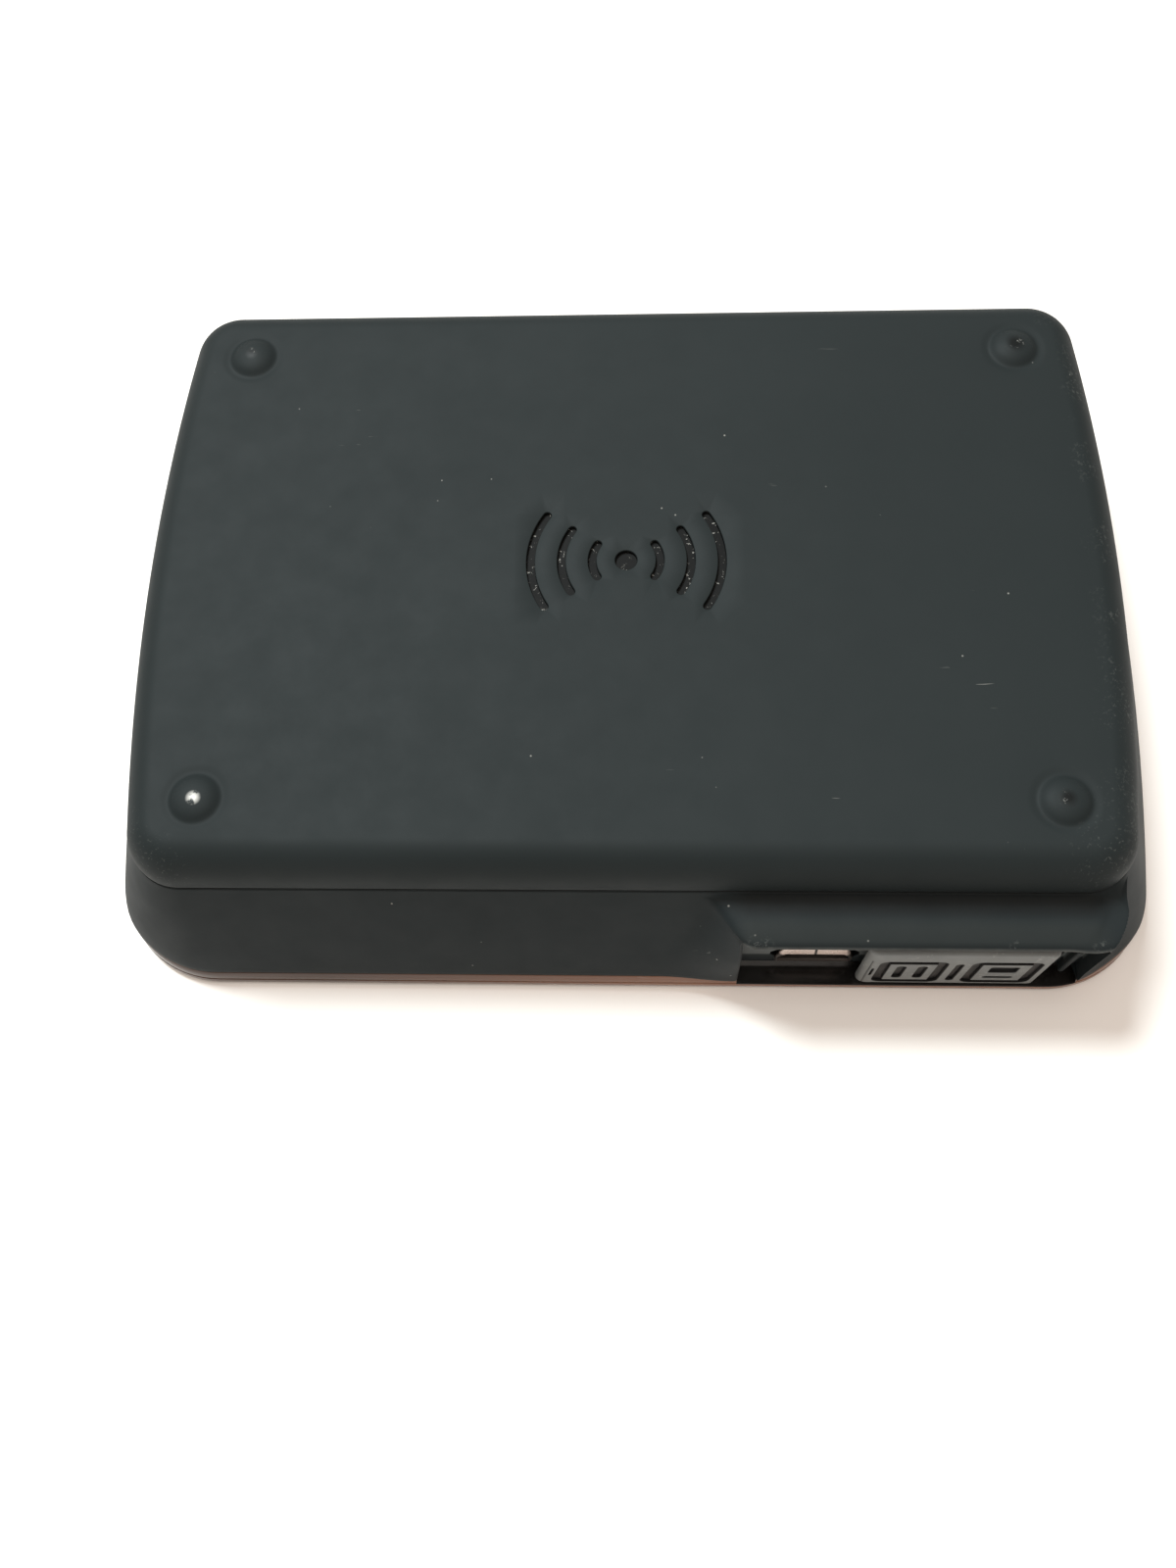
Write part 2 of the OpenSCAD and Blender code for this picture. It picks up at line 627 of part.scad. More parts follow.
module antenna_carrier_right() color("#3c3f42") carrier(1);
module main_antenna() color("#c98f52") antenna_foil(-1);
module diversity_antenna() color("#c98f52") antenna_foil(1);
wifi_x0 = -32;
wifi_x1 = -10;
wifi_y0 = 31;
wifi_y1 = 32.4;
module wifi_antenna_carrier() color("#3c3f42")
  block(wifi_x0, wifi_y0, carrier_z0, wifi_x1, wifi_y1, carrier_z1);
module wifi_antenna() color("#c98f52") {
  block(wifi_x0 + 1, wifi_y1, carrier_z0 + 0.4, wifi_x1 - 1, wifi_y1 + foil_t, carrier_z0 + 1.6);
  for (x = [wifi_x0 + 1, wifi_x0 + 9, wifi_x1 - 4])
    block(x, wifi_y1, carrier_z0 + 0.4, x + 3, wifi_y1 + foil_t, carrier_z1);
}
module antenna_springs() color("#d8b15a") {
  for (side = [-1, 1]) for (y = [-10, 10]) translate([side * 42.6, y, board_top + 0.15]) {
    cube([2.2, 1.6, 0.3], center = true);
    translate([-side * 0.9, 0, 0.5]) cube([0.2, 1.6, 1], center = true);
  }
}

module battery_cushion() color("#2a2a2a")
  plate(battery_x, 0, body_h - cover_t - cushion_t, body_h - cover_t, 40, 24, 2);

front_frame();
display_lens();
lens_adhesive();
display_gasket();
display_panel();
display_bracket();
display_flex();
flex_connector();
key_left();
key_home();
key_right();
keypad_membrane();
key_domes();
key_board();
key_flex();
light_pipe();
status_led();
main_housing();
housing_screws();
main_board();
modem_shield();
radio_shield();
power_shield();
modem_chip();
processor_chip();
radio_chip();
power_chip();
thermal_pad();
micro_usb_shell();
micro_usb_tongue();
usb_a_shell();
usb_a_tongue();
port_door();
power_key();
power_switch();
battery_pack();
battery_contacts();
battery_label();
battery_connector();
card_holder();
sim_card();
bay_label();
main_antenna();
diversity_antenna();
wifi_antenna();
antenna_carrier_left();
antenna_carrier_right();
wifi_antenna_carrier();
antenna_springs();
back_cover();
battery_cushion();
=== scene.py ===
import json
import math

import bmesh
import bpy
import numpy as np
from mathutils import Matrix, Vector
from mathutils.geometry import delaunay_2d_cdt


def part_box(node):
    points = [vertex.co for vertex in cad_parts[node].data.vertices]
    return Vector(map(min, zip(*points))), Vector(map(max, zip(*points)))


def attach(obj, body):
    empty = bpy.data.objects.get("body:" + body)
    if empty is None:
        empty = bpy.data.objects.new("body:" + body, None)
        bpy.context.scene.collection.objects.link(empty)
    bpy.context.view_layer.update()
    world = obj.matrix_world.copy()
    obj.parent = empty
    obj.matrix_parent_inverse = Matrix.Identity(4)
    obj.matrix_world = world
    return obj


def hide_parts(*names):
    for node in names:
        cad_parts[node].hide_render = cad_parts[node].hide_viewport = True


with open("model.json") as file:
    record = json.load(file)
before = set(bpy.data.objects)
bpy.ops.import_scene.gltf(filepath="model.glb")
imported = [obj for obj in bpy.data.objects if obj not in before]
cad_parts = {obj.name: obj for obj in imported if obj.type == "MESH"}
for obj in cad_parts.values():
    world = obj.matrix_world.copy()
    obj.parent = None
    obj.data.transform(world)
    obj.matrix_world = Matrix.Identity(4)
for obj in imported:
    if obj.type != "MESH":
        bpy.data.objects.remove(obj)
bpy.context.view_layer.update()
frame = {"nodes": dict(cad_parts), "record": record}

# A pocket mobile hotspot that lies face down. Shapes are worked out in millimetres in the CAD
# frame: +Z goes up through the back cover, -Y is the side with the ports, +X is to the right.

MM = 0.001


def box_mm(node):
    low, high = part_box(node)
    return low / MM, high / MM


def middle(low, high):
    return [(a + b) / 2 for a, b in zip(low, high)]


# ---- Sizes, from the frame where it gives them ----

HALF_W = box_mm("front_frame")[1].x
HALF_D = box_mm("front_frame")[1].y
RIM_Z = box_mm("main_housing")[0].z
SEAM_Z = box_mm("main_housing")[1].z
FOOT_H = 0.75
FOOT_X, FOOT_Y = 39.35, 24.75
COVER_TOP = box_mm("back_cover")[1].z - FOOT_H
SIDE_BOW = 2.85
CORNER_R = 10.6
WALL_LEAN = 5.3
RIM_INSET = 0.45
LEAN_POWER = 1.12
COVER_ROUND = 3.45
SEAM_GAP = 0.12
WALL_T = 1.5
PORT_X0, PORT_X1 = 11.0, 44.3
PORT_Z0, PORT_Z1 = 1.3, 13.6
RECESS_Y = -HALF_D + 2.2
FLOOR_Z = 10.3
CAVITY_Z = 9.4
QUARTER = math.pi / 2

SIDE_R = (HALF_D**2 + SIDE_BOW**2) / (2 * SIDE_BOW)
SIDE_CX = HALF_W - SIDE_R
CORNER_A = math.asin((HALF_D - CORNER_R) / (SIDE_R - CORNER_R))
CORNER_X = SIDE_CX + (SIDE_R - CORNER_R) * math.cos(CORNER_A)
CORNER_Y = HALF_D - CORNER_R


# ---- Small tools ----


def smoothstep(low, high, x):
    t = min(max((x - low) / (high - low), 0.0), 1.0)
    return t * t * (3 - 2 * t)


def lerp(a, b, t):
    return a + (b - a) * t


def steps(low, high, count):
    return [low + (high - low) * k / count for k in range(count + 1)]


def wall_inset(z):
    """How far the leaning wall has moved in from the rim at height z."""
    return WALL_LEAN * max((z - RIM_Z) / (SEAM_Z - RIM_Z), 0.0) ** LEAN_POWER


def near_side(normal):
    """How much a place on the outline faces the near side."""
    return smoothstep(0.35, 0.95, -normal[1])


class Shape:
    """Vertices in millimetres and faces, grown ring by ring. place turns a point of the
    shape's own axes into the CAD frame."""

    def __init__(self, place=None):
        self.verts = []
        self.faces = []
        self.place = place

    def ring(self, points):
        first = len(self.verts)
        self.verts += [tuple(p) for p in points]
        return list(range(first, len(self.verts)))

    def bridge(self, a, b, closed=True):
        last = len(a) if closed else len(a) - 1
        for k in range(last):
            n = (k + 1) % len(a)
            self.faces.append((a[k], a[n], b[n], b[k]))

    def skin(self, rings, closed=True):
        made = [self.ring(r) for r in rings]
        for a, b in zip(made, made[1:]):
            self.bridge(a, b, closed)
        return made

    def solid(self, rings):
        """A closed solid from a stack of rings, with both ends filled."""
        made = self.skin(rings)
        self.fill(made[0], flip=True)
        self.fill(made[-1])
        return made

    def fill(self, outer, holes=(), axes=(0, 1), flip=False, grid=0.0, lift=None):
        """Triangles between a loop and the holes in it. axes picks the flat plane. grid is how
        far apart inner points are, and lift gives each its place."""
        loops = [outer, *holes]
        ids = [i for loop in loops for i in loop]
        flat = [Vector((self.verts[i][axes[0]], self.verts[i][axes[1]])) for i in ids]
        edges, start = [], 0
        for loop in loops:
            n = len(loop)
            edges += [(start + k, start + (k + 1) % n) for k in range(n)]
            start += n
        polygons = [np.array([(self.verts[i][axes[0]], self.verts[i][axes[1]]) for i in loop])
                    for loop in loops]
        if grid:
            low, high = polygons[0].min(0), polygons[0].max(0)
            spots = np.array([(x, y) for x in np.arange(low[0] + grid / 2, high[0], grid)
                              for y in np.arange(low[1] + grid / 2, high[1], grid)])
            keep = inside(spots, polygons[0], margin=grid * 0.3)
            for p in polygons[1:]:
                keep &= ~inside(spots, p, margin=-grid * 0.3)
            for x, y in spots[keep]:
                ids.append(len(self.verts))
                self.verts.append(lift(x, y))
                flat.append(Vector((x, y)))
        made = delaunay_2d_cdt(flat, edges, [], 0, 1e-7)
        origin = [o[0] if o else None for o in made[3]]
        tris = [f for f in made[2] if all(origin[i] is not None for i in f)]
        centres = np.array([[sum(made[0][i].x for i in f) / 3, sum(made[0][i].y for i in f) / 3]
                            for f in tris])
        keep = inside(centres, polygons[0])
        for p in polygons[1:]:
            keep &= ~inside(centres, p)
        for f, wanted in zip(tris, keep):
            if wanted:
                face = [ids[origin[i]] for i in f]
                self.faces.append(tuple(reversed(face)) if flip else tuple(face))

    def make(self, name, smooth_angle=32):
        verts = [self.place(*v) for v in self.verts] if self.place else self.verts
        mesh = bpy.data.meshes.new(name)
        mesh.from_pydata([tuple(c * MM for c in v) for v in verts], [], self.faces)
        mesh.validate()
        obj = bpy.data.objects.new(name, mesh)
        bpy.context.scene.collection.objects.link(obj)
        weld(obj)
        shade(obj, smooth_angle)
        return obj


def inside(points, polygon, margin=0.0):
    """Which points lie in a closed polygon. A margin keeps them that far from its edges."""
    x, y = points[:, 0], points[:, 1]
    hit = np.zeros(len(points), bool)
    near = np.full(len(points), 1e9)
    for a, b in zip(polygon, np.roll(polygon, -1, 0)):
        crosses = (a[1] > y) != (b[1] > y)
        if a[1] != b[1]:
            hit ^= crosses & (x < (b[0] - a[0]) * (y - a[1]) / (b[1] - a[1]) + a[0])
        if margin:
            d = b - a
            t = np.clip(((x - a[0]) * d[0] + (y - a[1]) * d[1]) / max(d @ d, 1e-12), 0, 1)
            near = np.minimum(near, np.hypot(x - a[0] - t * d[0], y - a[1] - t * d[1]))
    if margin > 0:
        return hit & (near > margin)
    if margin < 0:
        return hit | (near < -margin)
    return hit


def weld(obj, reach=0.002):
    bm = bmesh.new()
    bm.from_mesh(obj.data)
    bmesh.ops.remove_doubles(bm, verts=bm.verts, dist=reach * MM)
    bmesh.ops.dissolve_degenerate(bm, edges=bm.edges, dist=reach * MM / 4)
    bmesh.ops.recalc_face_normals(bm, faces=bm.faces)
    bm.to_mesh(obj.data)
    bm.free()


def shade(obj, angle):
    mesh = obj.data
    mesh.polygons.foreach_set("use_smooth", [True] * len(mesh.polygons))
    mesh.set_sharp_from_angle(angle=math.radians(angle))
    mesh.update()


def carve(obj, *cutters, angle=32):
    """Cuts closed meshes out of a closed mesh and leaves a plain mesh behind."""
    for cutter in cutters:
        cut = obj.modifiers.new("cut", "BOOLEAN")
        cut.object = cutter
        cut.solver = "EXACT"
    seen = obj.evaluated_get(bpy.context.evaluated_depsgraph_get())
    mesh = bpy.data.meshes.new_from_object(seen)
    mesh.name = obj.name
    obj.modifiers.clear()
    obj.data = mesh
    for cutter in cutters:
        bpy.data.objects.remove(cutter)
    weld(obj)
    shade(obj, angle)
    return obj


def stations(near, far=None, corner=16, near_right=None, side=20):
    """Points on the widest outline with their outward normals, counter-clockwise from the
    left end of the near side. near holds the X positions between the near corners."""
    far = far or [-x for x in near]
    out = [((x, -HALF_D), (0.0, -1.0)) for x in near]

    def on_corner(sx, sy, a):
        n = (math.cos(a), math.sin(a))
        out.append(((sx * CORNER_X + CORNER_R * n[0], sy * CORNER_Y + CORNER_R * n[1]), n))

    def corner_arc(sx, sy, a0, a1):
        for a in steps(a0, a1, corner)[1:]:
            on_corner(sx, sy, a)

    def side_arc(sx, a0, a1):
        for a in steps(a0, a1, side)[1:-1]:
            n = (math.cos(a), math.sin(a))
            out.append(((sx * SIDE_CX + SIDE_R * n[0], SIDE_R * n[1]), n))

    if near_right:
        for a in near_right:
            on_corner(1, -1, a - QUARTER)
    else:
        corner_arc(1, -1, -QUARTER, -CORNER_A)
    side_arc(1, -CORNER_A, CORNER_A)
    on_corner(1, 1, CORNER_A)
    corner_arc(1, 1, CORNER_A, QUARTER)
    out += [((x, HALF_D), (0.0, 1.0)) for x in far[1:]]
    corner_arc(-1, 1, QUARTER, math.pi - CORNER_A)
    side_arc(-1, math.pi - CORNER_A, math.pi + CORNER_A)
    on_corner(-1, -1, math.pi + CORNER_A)
    corner_arc(-1, -1, math.pi + CORNER_A, 3 * QUARTER)
    out.pop()
    return out


def level(places, inset, z):
    """The outline moved inward by inset, at height z."""
    return [(p[0] - inset * n[0], p[1] - inset * n[1], z) for p, n in places]


def arc_points(cx, cy, r, a0, a1, count):
    return [(cx + r * math.cos(a), cy + r * math.sin(a)) for a in steps(a0, a1, count)]


def circle(cx, cy, r, count=32):
    return arc_points(cx, cy, r, 0, 2 * math.pi, count)[:-1]


def round_rect(w, d, r, per_corner=6, cx=0.0, cy=0.0):
    r = max(r, 0.01)
    out = []
    for sx, sy, a in ((1, 1, 0), (-1, 1, 1), (-1, -1, 2), (1, -1, 3)):
        out += arc_points(cx + sx * (w / 2 - r), cy + sy * (d / 2 - r), r,
                          a * QUARTER, (a + 1) * QUARTER, per_corner)
    return out


def at_z(loop, z):
    return [(p[0], p[1], z) for p in loop]


def rounded_edge(z0, z1, r, count=4):
    """(inset, height) pairs for a plate from z0 to z1 whose two rims are rounded."""
    turn = [(r * (1 - math.sin(a)), r * (1 - math.cos(a))) for a in steps(0, QUARTER, count)]
    low = [(i, z0 + h) for i, h in turn]
    return low + [(i, z1 - h) for i, h in reversed(turn)]


def plate(shape, w, d, corner, z0, z1, r, cx=0.0, cy=0.0):
    """Adds a round-cornered plate with rounded rims to a shape."""
    rings = [at_z(round_rect(w - 2 * i, d - 2 * i, max(corner - i, 0.05), cx=cx, cy=cy), z)
             for i, z in rounded_edge(z0, z1, r)]
    return shape.solid(rings)


def bar(a, b, w, ends=6):
    """Outline of a straight stroke with round ends."""
    turn = math.atan2(b[1] - a[1], b[0] - a[0])
    return (arc_points(b[0], b[1], w / 2, turn - QUARTER, turn + QUARTER, ends)
            + arc_points(a[0], a[1], w / 2, turn + QUARTER, turn + 3 * QUARTER, ends))


def ribbon(r, mid, half, w, count=20, ends=7):
    """Outline of a stroke of width w along an arc, with round ends."""
    lo, hi = mid - half, mid + half
    out = arc_points(0, 0, r + w / 2, lo, hi, count)
    out += arc_points(r * math.cos(hi), r * math.sin(hi), w / 2, hi, hi + math.pi, ends)[1:-1]
    out += arc_points(0, 0, r - w / 2, hi, lo, count)
    out += arc_points(r * math.cos(lo), r * math.sin(lo), w / 2, lo + math.pi, lo + 2 * math.pi,
                      ends)[1:-1]
    return out


def sink(shape, outline, surface, profile):
    """The wall of a groove: the outline at each (shrink, depth) of the profile."""
    return shape.skin([[(x, y, surface(x, y) + dz) for x, y in outline(d)]
                       for d, dz in profile])


def engrave(shape, strokes, surface, profile):
    """Sinks closed strokes into a surface and returns the holes they leave in it. A stroke
    is a function from how far it is shrunk to its outline. surface gives the height."""
    holes = []
    for stroke in strokes:
        rings = sink(shape, stroke, surface, profile)
        shape.fill(rings[-1])
        holes.append(rings[0])
    return holes


def engrave_loop(shape, outline, width, surface, profile, islands=()):
    """Sinks a stroke that runs round a closed outline. Returns the hole that it leaves in
    the surface outside it. islands are strokes sunk into the surface inside it."""
    outer = sink(shape, outline, surface, profile)
    inner = sink(shape, lambda d: outline(width - d), surface, profile)
    shape.fill(outer[-1], [inner[-1]])
    shape.fill(inner[0], engrave(shape, islands, surface, profile))
    return outer[0]


# ---- Back cover ----

CROWN = 0.12
TOP_INSET = WALL_LEAN + COVER_ROUND
DISH_R = 3.45
foot_profile = [(DISH_R, 0.0), (3.3, -0.005), (3.1, -0.025), (2.85, -0.07), (2.62, -0.1),
                (2.45, -0.08), (2.3, 0.0), (2.12, 0.14), (1.88, 0.32), (1.6, 0.47), (1.3, 0.58),
                (1.0, 0.665), (0.7, 0.715), (0.45, 0.735), (0.2, 0.745)]
SIGN_W = 0.95
SIGN_DEPTH = 0.42
SIGN_RADII = (3.3, 6.3, 9.3)
SIGN_HALF_ANGLE = math.radians(33)
SIGN_DOT_R = 1.15
sign_profile = [(0.0, 0.0), (0.02, -0.012), (0.05, -0.05), (0.075, -0.14), (0.1, -SIGN_DEPTH)]


def crown(x, y):
    """Height of the gently crowned top. It is flat along the edge of the top."""
    half_x = SIDE_CX + math.sqrt((SIDE_R - TOP_INSET) ** 2 - y * y)
    fx = 1 - (x / half_x) ** 2
    fy = 1 - (y / (HALF_D - TOP_INSET)) ** 2
    return COVER_TOP + CROWN * max(fx, 0) * max(fy, 0)


def sign_strokes():
    """The engraved signal sign: a dot with three arcs on each side."""
    strokes = [lambda d: circle(0, 0, SIGN_DOT_R - d, 28)]
    for r in SIGN_RADII:
        for mid in (0, math.pi):
            strokes.append(lambda d, r=r, mid=mid: ribbon(r, mid, SIGN_HALF_ANGLE,
                                                          SIGN_W - 2 * d))
    return strokes


def cover_foot(shape, x, y):
    middle = crown(x, y)
    rings = [[(px, py, (crown(px, py) if r == DISH_R else middle) + dz)
              for px, py in circle(x, y, r, 40)] for r, dz in foot_profile]
    made = shape.skin(rings)
    shape.faces.append(tuple(made[-1]))
    return made[0]


def back_cover():
    shape = Shape()
    places = stations(steps(-CORNER_X, CORNER_X, 30), corner=22, side=24)
    z0 = SEAM_Z + SEAM_GAP
    rise = COVER_TOP - z0
    lip_in, lip_out, lip_z = WALL_LEAN + 2.5, WALL_LEAN + 1.3, SEAM_Z - 1.5
    ceiling, inner_r = rise - 1.4, 2.05
    rows = [(lip_in + inner_r * (1 - math.cos(a)), z0 + 0.4 + (ceiling - 0.4) * math.sin(a))
            for a in steps(QUARTER, 0, 9)]
    rows += [(lip_in, lip_z + 0.15), (lip_in - 0.15, lip_z), (lip_out + 0.3, lip_z),
             (lip_out, lip_z + 0.4), (lip_out, z0), (WALL_LEAN + 0.3, z0)]
    rows += [(WALL_LEAN + 0.14, z0 + 0.02), (WALL_LEAN + 0.06, z0 + 0.07),
             (WALL_LEAN + 0.01, z0 + 0.17)]
    rows += [(WALL_LEAN + COVER_ROUND * (1 - math.cos(a)), z0 + 0.1 + (rise - 0.1) * math.sin(a))
             for a in steps(0, QUARTER, 18)[1:]]
    made = shape.skin([level(places, i, z) for i, z in rows])
    shape.fill(made[0], flip=True)
    holes = [cover_foot(shape, sx * FOOT_X, sy * FOOT_Y) for sx in (-1, 1) for sy in (-1, 1)]
    holes += engrave(shape, sign_strokes(), crown, sign_profile)
    shape.fill(made[-1], holes, grid=2.5, lift=lambda x, y: (x, y, crown(x, y)))
    return shape.make("back_cover_shell")


# ---- Main housing ----

ROLL = 0.3
NOSE_Z = PORT_Z1 + ROLL
HOOD_INSET = 0.1
HOOD_SET_BACK = 0.26
HOOD_TOP = SEAM_Z - 0.7
HOOD_REACH = 4.85
JAMB_X = PORT_X1 - 0.18
JAMB_CORNER_R = 0.85
PORT_A0 = math.asin((JAMB_X - CORNER_X) / (CORNER_R - HOOD_INSET))
RIDGE_TOP_A = math.radians(33)
RIDGE_REACH = 2.9
FAR_FROM_PORT = 9.0
KEY_LOW, KEY_HIGH = box_mm("power_key")
KEY_X = middle(KEY_LOW, KEY_HIGH)[0]
KEY_HALF_W = 5.2
KEY_Z0, KEY_Z1 = 4.95, 7.45
# (inset past the wall's lean, height) from the top of the wall down to the bay floor
BAY_ROWS = [(0.3, SEAM_Z), (1.02, SEAM_Z), (1.1, SEAM_Z - 0.08), (1.1, SEAM_Z - 1.6),
            (2.55, SEAM_Z - 1.6), (2.6, SEAM_Z - 1.65), (2.6, FLOOR_Z + 0.2), (2.8, FLOOR_Z)]


def hood_rows():
    """(height, inset of the hood) from the rim up to the cover seam."""
    rows = [(RIM_Z + 0.02, 0.14), (RIM_Z + 0.06, 0.05), (RIM_Z + 0.16, 0.0)]
    heights = steps(RIM_Z + 0.6, KEY_Z0, 3) + steps(KEY_Z0, KEY_Z1, 4)[1:]
    heights += steps(KEY_Z1, NOSE_Z, 9)[1:]
    rows += [(z, HOOD_INSET * smoothstep(RIM_Z, RIM_Z + 3, z)) for z in heights]
    rows += [(NOSE_Z + (HOOD_TOP - NOSE_Z) * math.sin(a),
              HOOD_INSET + HOOD_REACH * (1 - math.cos(a)) ** 0.92)
             for a in steps(0, 1.36, 20)[1:]]
    top, end = rows[-1]
    rows += [(lerp(top, SEAM_Z - 0.16, t**1.3), lerp(end, WALL_LEAN - 0.03, t))
             for t in steps(0, 1, 8)[1:]]
    rows += [(SEAM_Z - 0.13, WALL_LEAN), (SEAM_Z - 0.06, WALL_LEAN + 0.04),
             (SEAM_Z - 0.015, WALL_LEAN + 0.12)]
    return rows


def ridge_angle(hood):
    """Where the ridge at the hood's right end lies on the corner arc, for a hood inset."""
    return lerp(PORT_A0, RIDGE_TOP_A, min(max((hood - HOOD_INSET) / RIDGE_REACH, 0), 1))


def hood_weight(x, past, z):
    """How much of the hood there is at a place on the outline: 0 is the plain leaning wall."""
    high = smoothstep(4, 14.5, z)
    left = smoothstep(lerp(3.0, 7.2, high), lerp(PORT_X0 - ROLL, 12.0, high), x)
    return left * (1 - min(max(past / lerp(0.55, 0.4, high), 0), 1)) ** 1.7


def hood_shift(x, past, z):
    """The hood is set back a little towards the left. The ridge stands a little proud of it,
    with a valley beside it."""
    back = HOOD_SET_BACK * smoothstep(9, 13, z) * (1 - smoothstep(40, 43.5, x))
    high = smoothstep(NOSE_Z + 0.05, HOOD_TOP, z) * (1 - smoothstep(HOOD_TOP, SEAM_Z - 0.16, z))
    valley = 0.4 * math.exp(-((past + 0.2) / 0.1) ** 2)
    return back + (valley - 0.3 * math.exp(-(past / 0.07) ** 2)) * high


def housing_stations():
    before = steps(-CORNER_X, 2, 14) + steps(2.4, PORT_X0 - ROLL, 22)
    near = before + steps(PORT_X0 - ROLL, CORNER_X, 78)[1:]
    first = steps(0, PORT_A0, 14)[1:]
    rest = steps(PORT_A0, PORT_A0 + 0.36, 26)[1:]
    rest += steps(PORT_A0 + 0.36, QUARTER - CORNER_A, 24)[1:]
    far = steps(CORNER_X, KEY_X + KEY_HALF_W, 3) + steps(KEY_X + KEY_HALF_W,
                                                         KEY_X - KEY_HALF_W, 6)[1:]
    far += steps(KEY_X - KEY_HALF_W, -CORNER_X, 24)[1:]
    places = stations(near, far=far, near_right=first + rest)
    left, right = len(before) - 1, len(near) - 1 + len(first)
    angles = [None] * len(near) + first + rest
    angles += [FAR_FROM_PORT] * (len(places) - len(angles))
    return places, angles, left, right


def wall_point(place, normal, angle, z, hood):
    plain = wall_inset(z)
    if z < RIM_Z + 0.2 or z > SEAM_Z - 0.14:
        plain = max(plain, hood)
    weight = 0.0
    if normal[1] < 0 and angle != FAR_FROM_PORT:
        along = (place[0] - CORNER_X) / (CORNER_R - 2) if angle is None else angle
        past = along - ridge_angle(hood)
        weight = hood_weight(place[0], past, z)
        hood += hood_shift(place[0], past, z)
    rim = (1 - (z - RIM_Z) / (SEAM_Z - RIM_Z)) * (1 - weight)
    i = lerp(plain, min(hood, plain), weight) + RIM_INSET * near_side(normal) * rim
    return (place[0] - i * normal[0], place[1] - i * normal[1], z)


def wall_faces(shape, grid, is_open):
    """Faces between the rows of the wall, except where it is open."""
    count = len(grid[0])
    for r in range(len(grid) - 1):
        for c in range(count):
            if not is_open(r, c):
                n = (c + 1) % count
                shape.faces.append((grid[r][c], grid[r][n], grid[r + 1][n], grid[r + 1][c]))


def main_housing():
    shape = Shape()
    places, angles, left, right = housing_stations()
    rows = hood_rows()
    heights = [z for z, _ in rows]
    top_row = min(range(len(rows)), key=lambda k: abs(heights[k] - NOSE_Z))
    grid = [shape.ring([wall_point(p, n, a, z, hood) for (p, n), a in zip(places, angles)])
            for z, hood in rows]
    count = len(places)
    key_cols = [c for c in range(count) if places[c][0][1] > HALF_D - 0.01
                and abs(places[c][0][0] - KEY_X) < KEY_HALF_W + 0.01]
    key_rows = [r for r in range(len(rows)) if KEY_Z0 - 0.01 < heights[r] < KEY_Z1 + 0.01]
    wall_faces(shape, grid, lambda r, c: (r < top_row and left <= c < right)
               or (r in key_rows[:-1] and c in key_cols[:-1]))
    recess_bottom = port_recess(shape, grid, left, right, top_row)
    key_recess(shape, grid, key_rows, key_cols)
    inner = shape.skin([level(places, WALL_LEAN + i, z) for i, z in BAY_ROWS])
    shape.bridge(grid[-1], inner[0])
    shape.fill(inner[-1])
    cavity_bottom = shape.ring(cavity(places, RIM_Z + 0.02))
    cavity_top = shape.ring(cavity(places, CAVITY_Z))
    shape.bridge(cavity_top, cavity_bottom)
    shape.fill(cavity_top, flip=True)
    for c in range(count):
        n = (c + 1) % count
        a, b = grid[0][c], grid[0][n]
        if left <= c < right:
            a, b = recess_bottom[c - left], recess_bottom[n - left]
        shape.faces.append((cavity_bottom[c], cavity_bottom[n], b, a))
    bay_fittings(shape)
    return shape.make("main_housing_shell", 28)


def cavity(places, z):
    """The inside of the wall under the bay floor, set back behind the port recess."""
    out = []
    for p, n in places:
        i = wall_inset(z) + WALL_T
        if n[1] < -0.5 and p[0] > 0:
            back = smoothstep(PORT_X0 - 4, PORT_X0 - 2, p[0])
            i = lerp(i, max(i, 3.6), back * smoothstep(0.5, 0.8, -n[1]))
        out.append((p[0] - i * n[0], p[1] - i * n[1], z))
    return out


def key_recess(shape, grid, rows, cols):
    """The blind window that the side key sits in, with a slightly eased edge."""
    border = [grid[rows[0]][c] for c in cols] + [grid[r][cols[-1]] for r in rows[1:]]
    border += [grid[rows[-1]][c] for c in reversed(cols[:-1])]
    border += [grid[r][cols[0]] for r in reversed(rows[1:-1])]
    middle_z = (KEY_Z0 + KEY_Z1) / 2
    rings = [border]
    for ease, deep in ((0.05, 0.02), (0.09, 0.1), (0.1, 1.2)):
        ring = []
        for i in border:
            x, y, z = shape.verts[i]
            on_side = abs(abs(x - KEY_X) - KEY_HALF_W) < 0.01
            on_end = min(abs(z - KEY_Z0), abs(z - KEY_Z1)) < 0.01
            dx = math.copysign(ease, KEY_X - x) if on_side else 0
            dz = math.copysign(ease, middle_z - z) if on_end else 0
            ring.append((x + dx, y - deep, z + dz))
        rings.append(shape.ring(ring))
    for a, b in zip(rings, rings[1:]):
        shape.bridge(a, b)
    shape.fill(rings[-1], axes=(0, 2))


def round_corners(shape, border, left_corner, right_corner):
    """Moves the edge of the opening onto an arc at each of its two top corners."""
    r = JAMB_CORNER_R
    for i in border:
        x, y, z = shape.verts[i]
        for (cx, _, cz), side in ((left_corner, -1), (right_corner, 1)):
            along, down = side * (cx - x), cz - z
            if along < r and down < r:
                a = QUARTER / 2 * (1 + down / r - max(along, 0) / r)
                shape.verts[i] = (cx - side * r * (1 - math.sin(a)), y,
                                  cz - r * (1 - math.cos(a)))


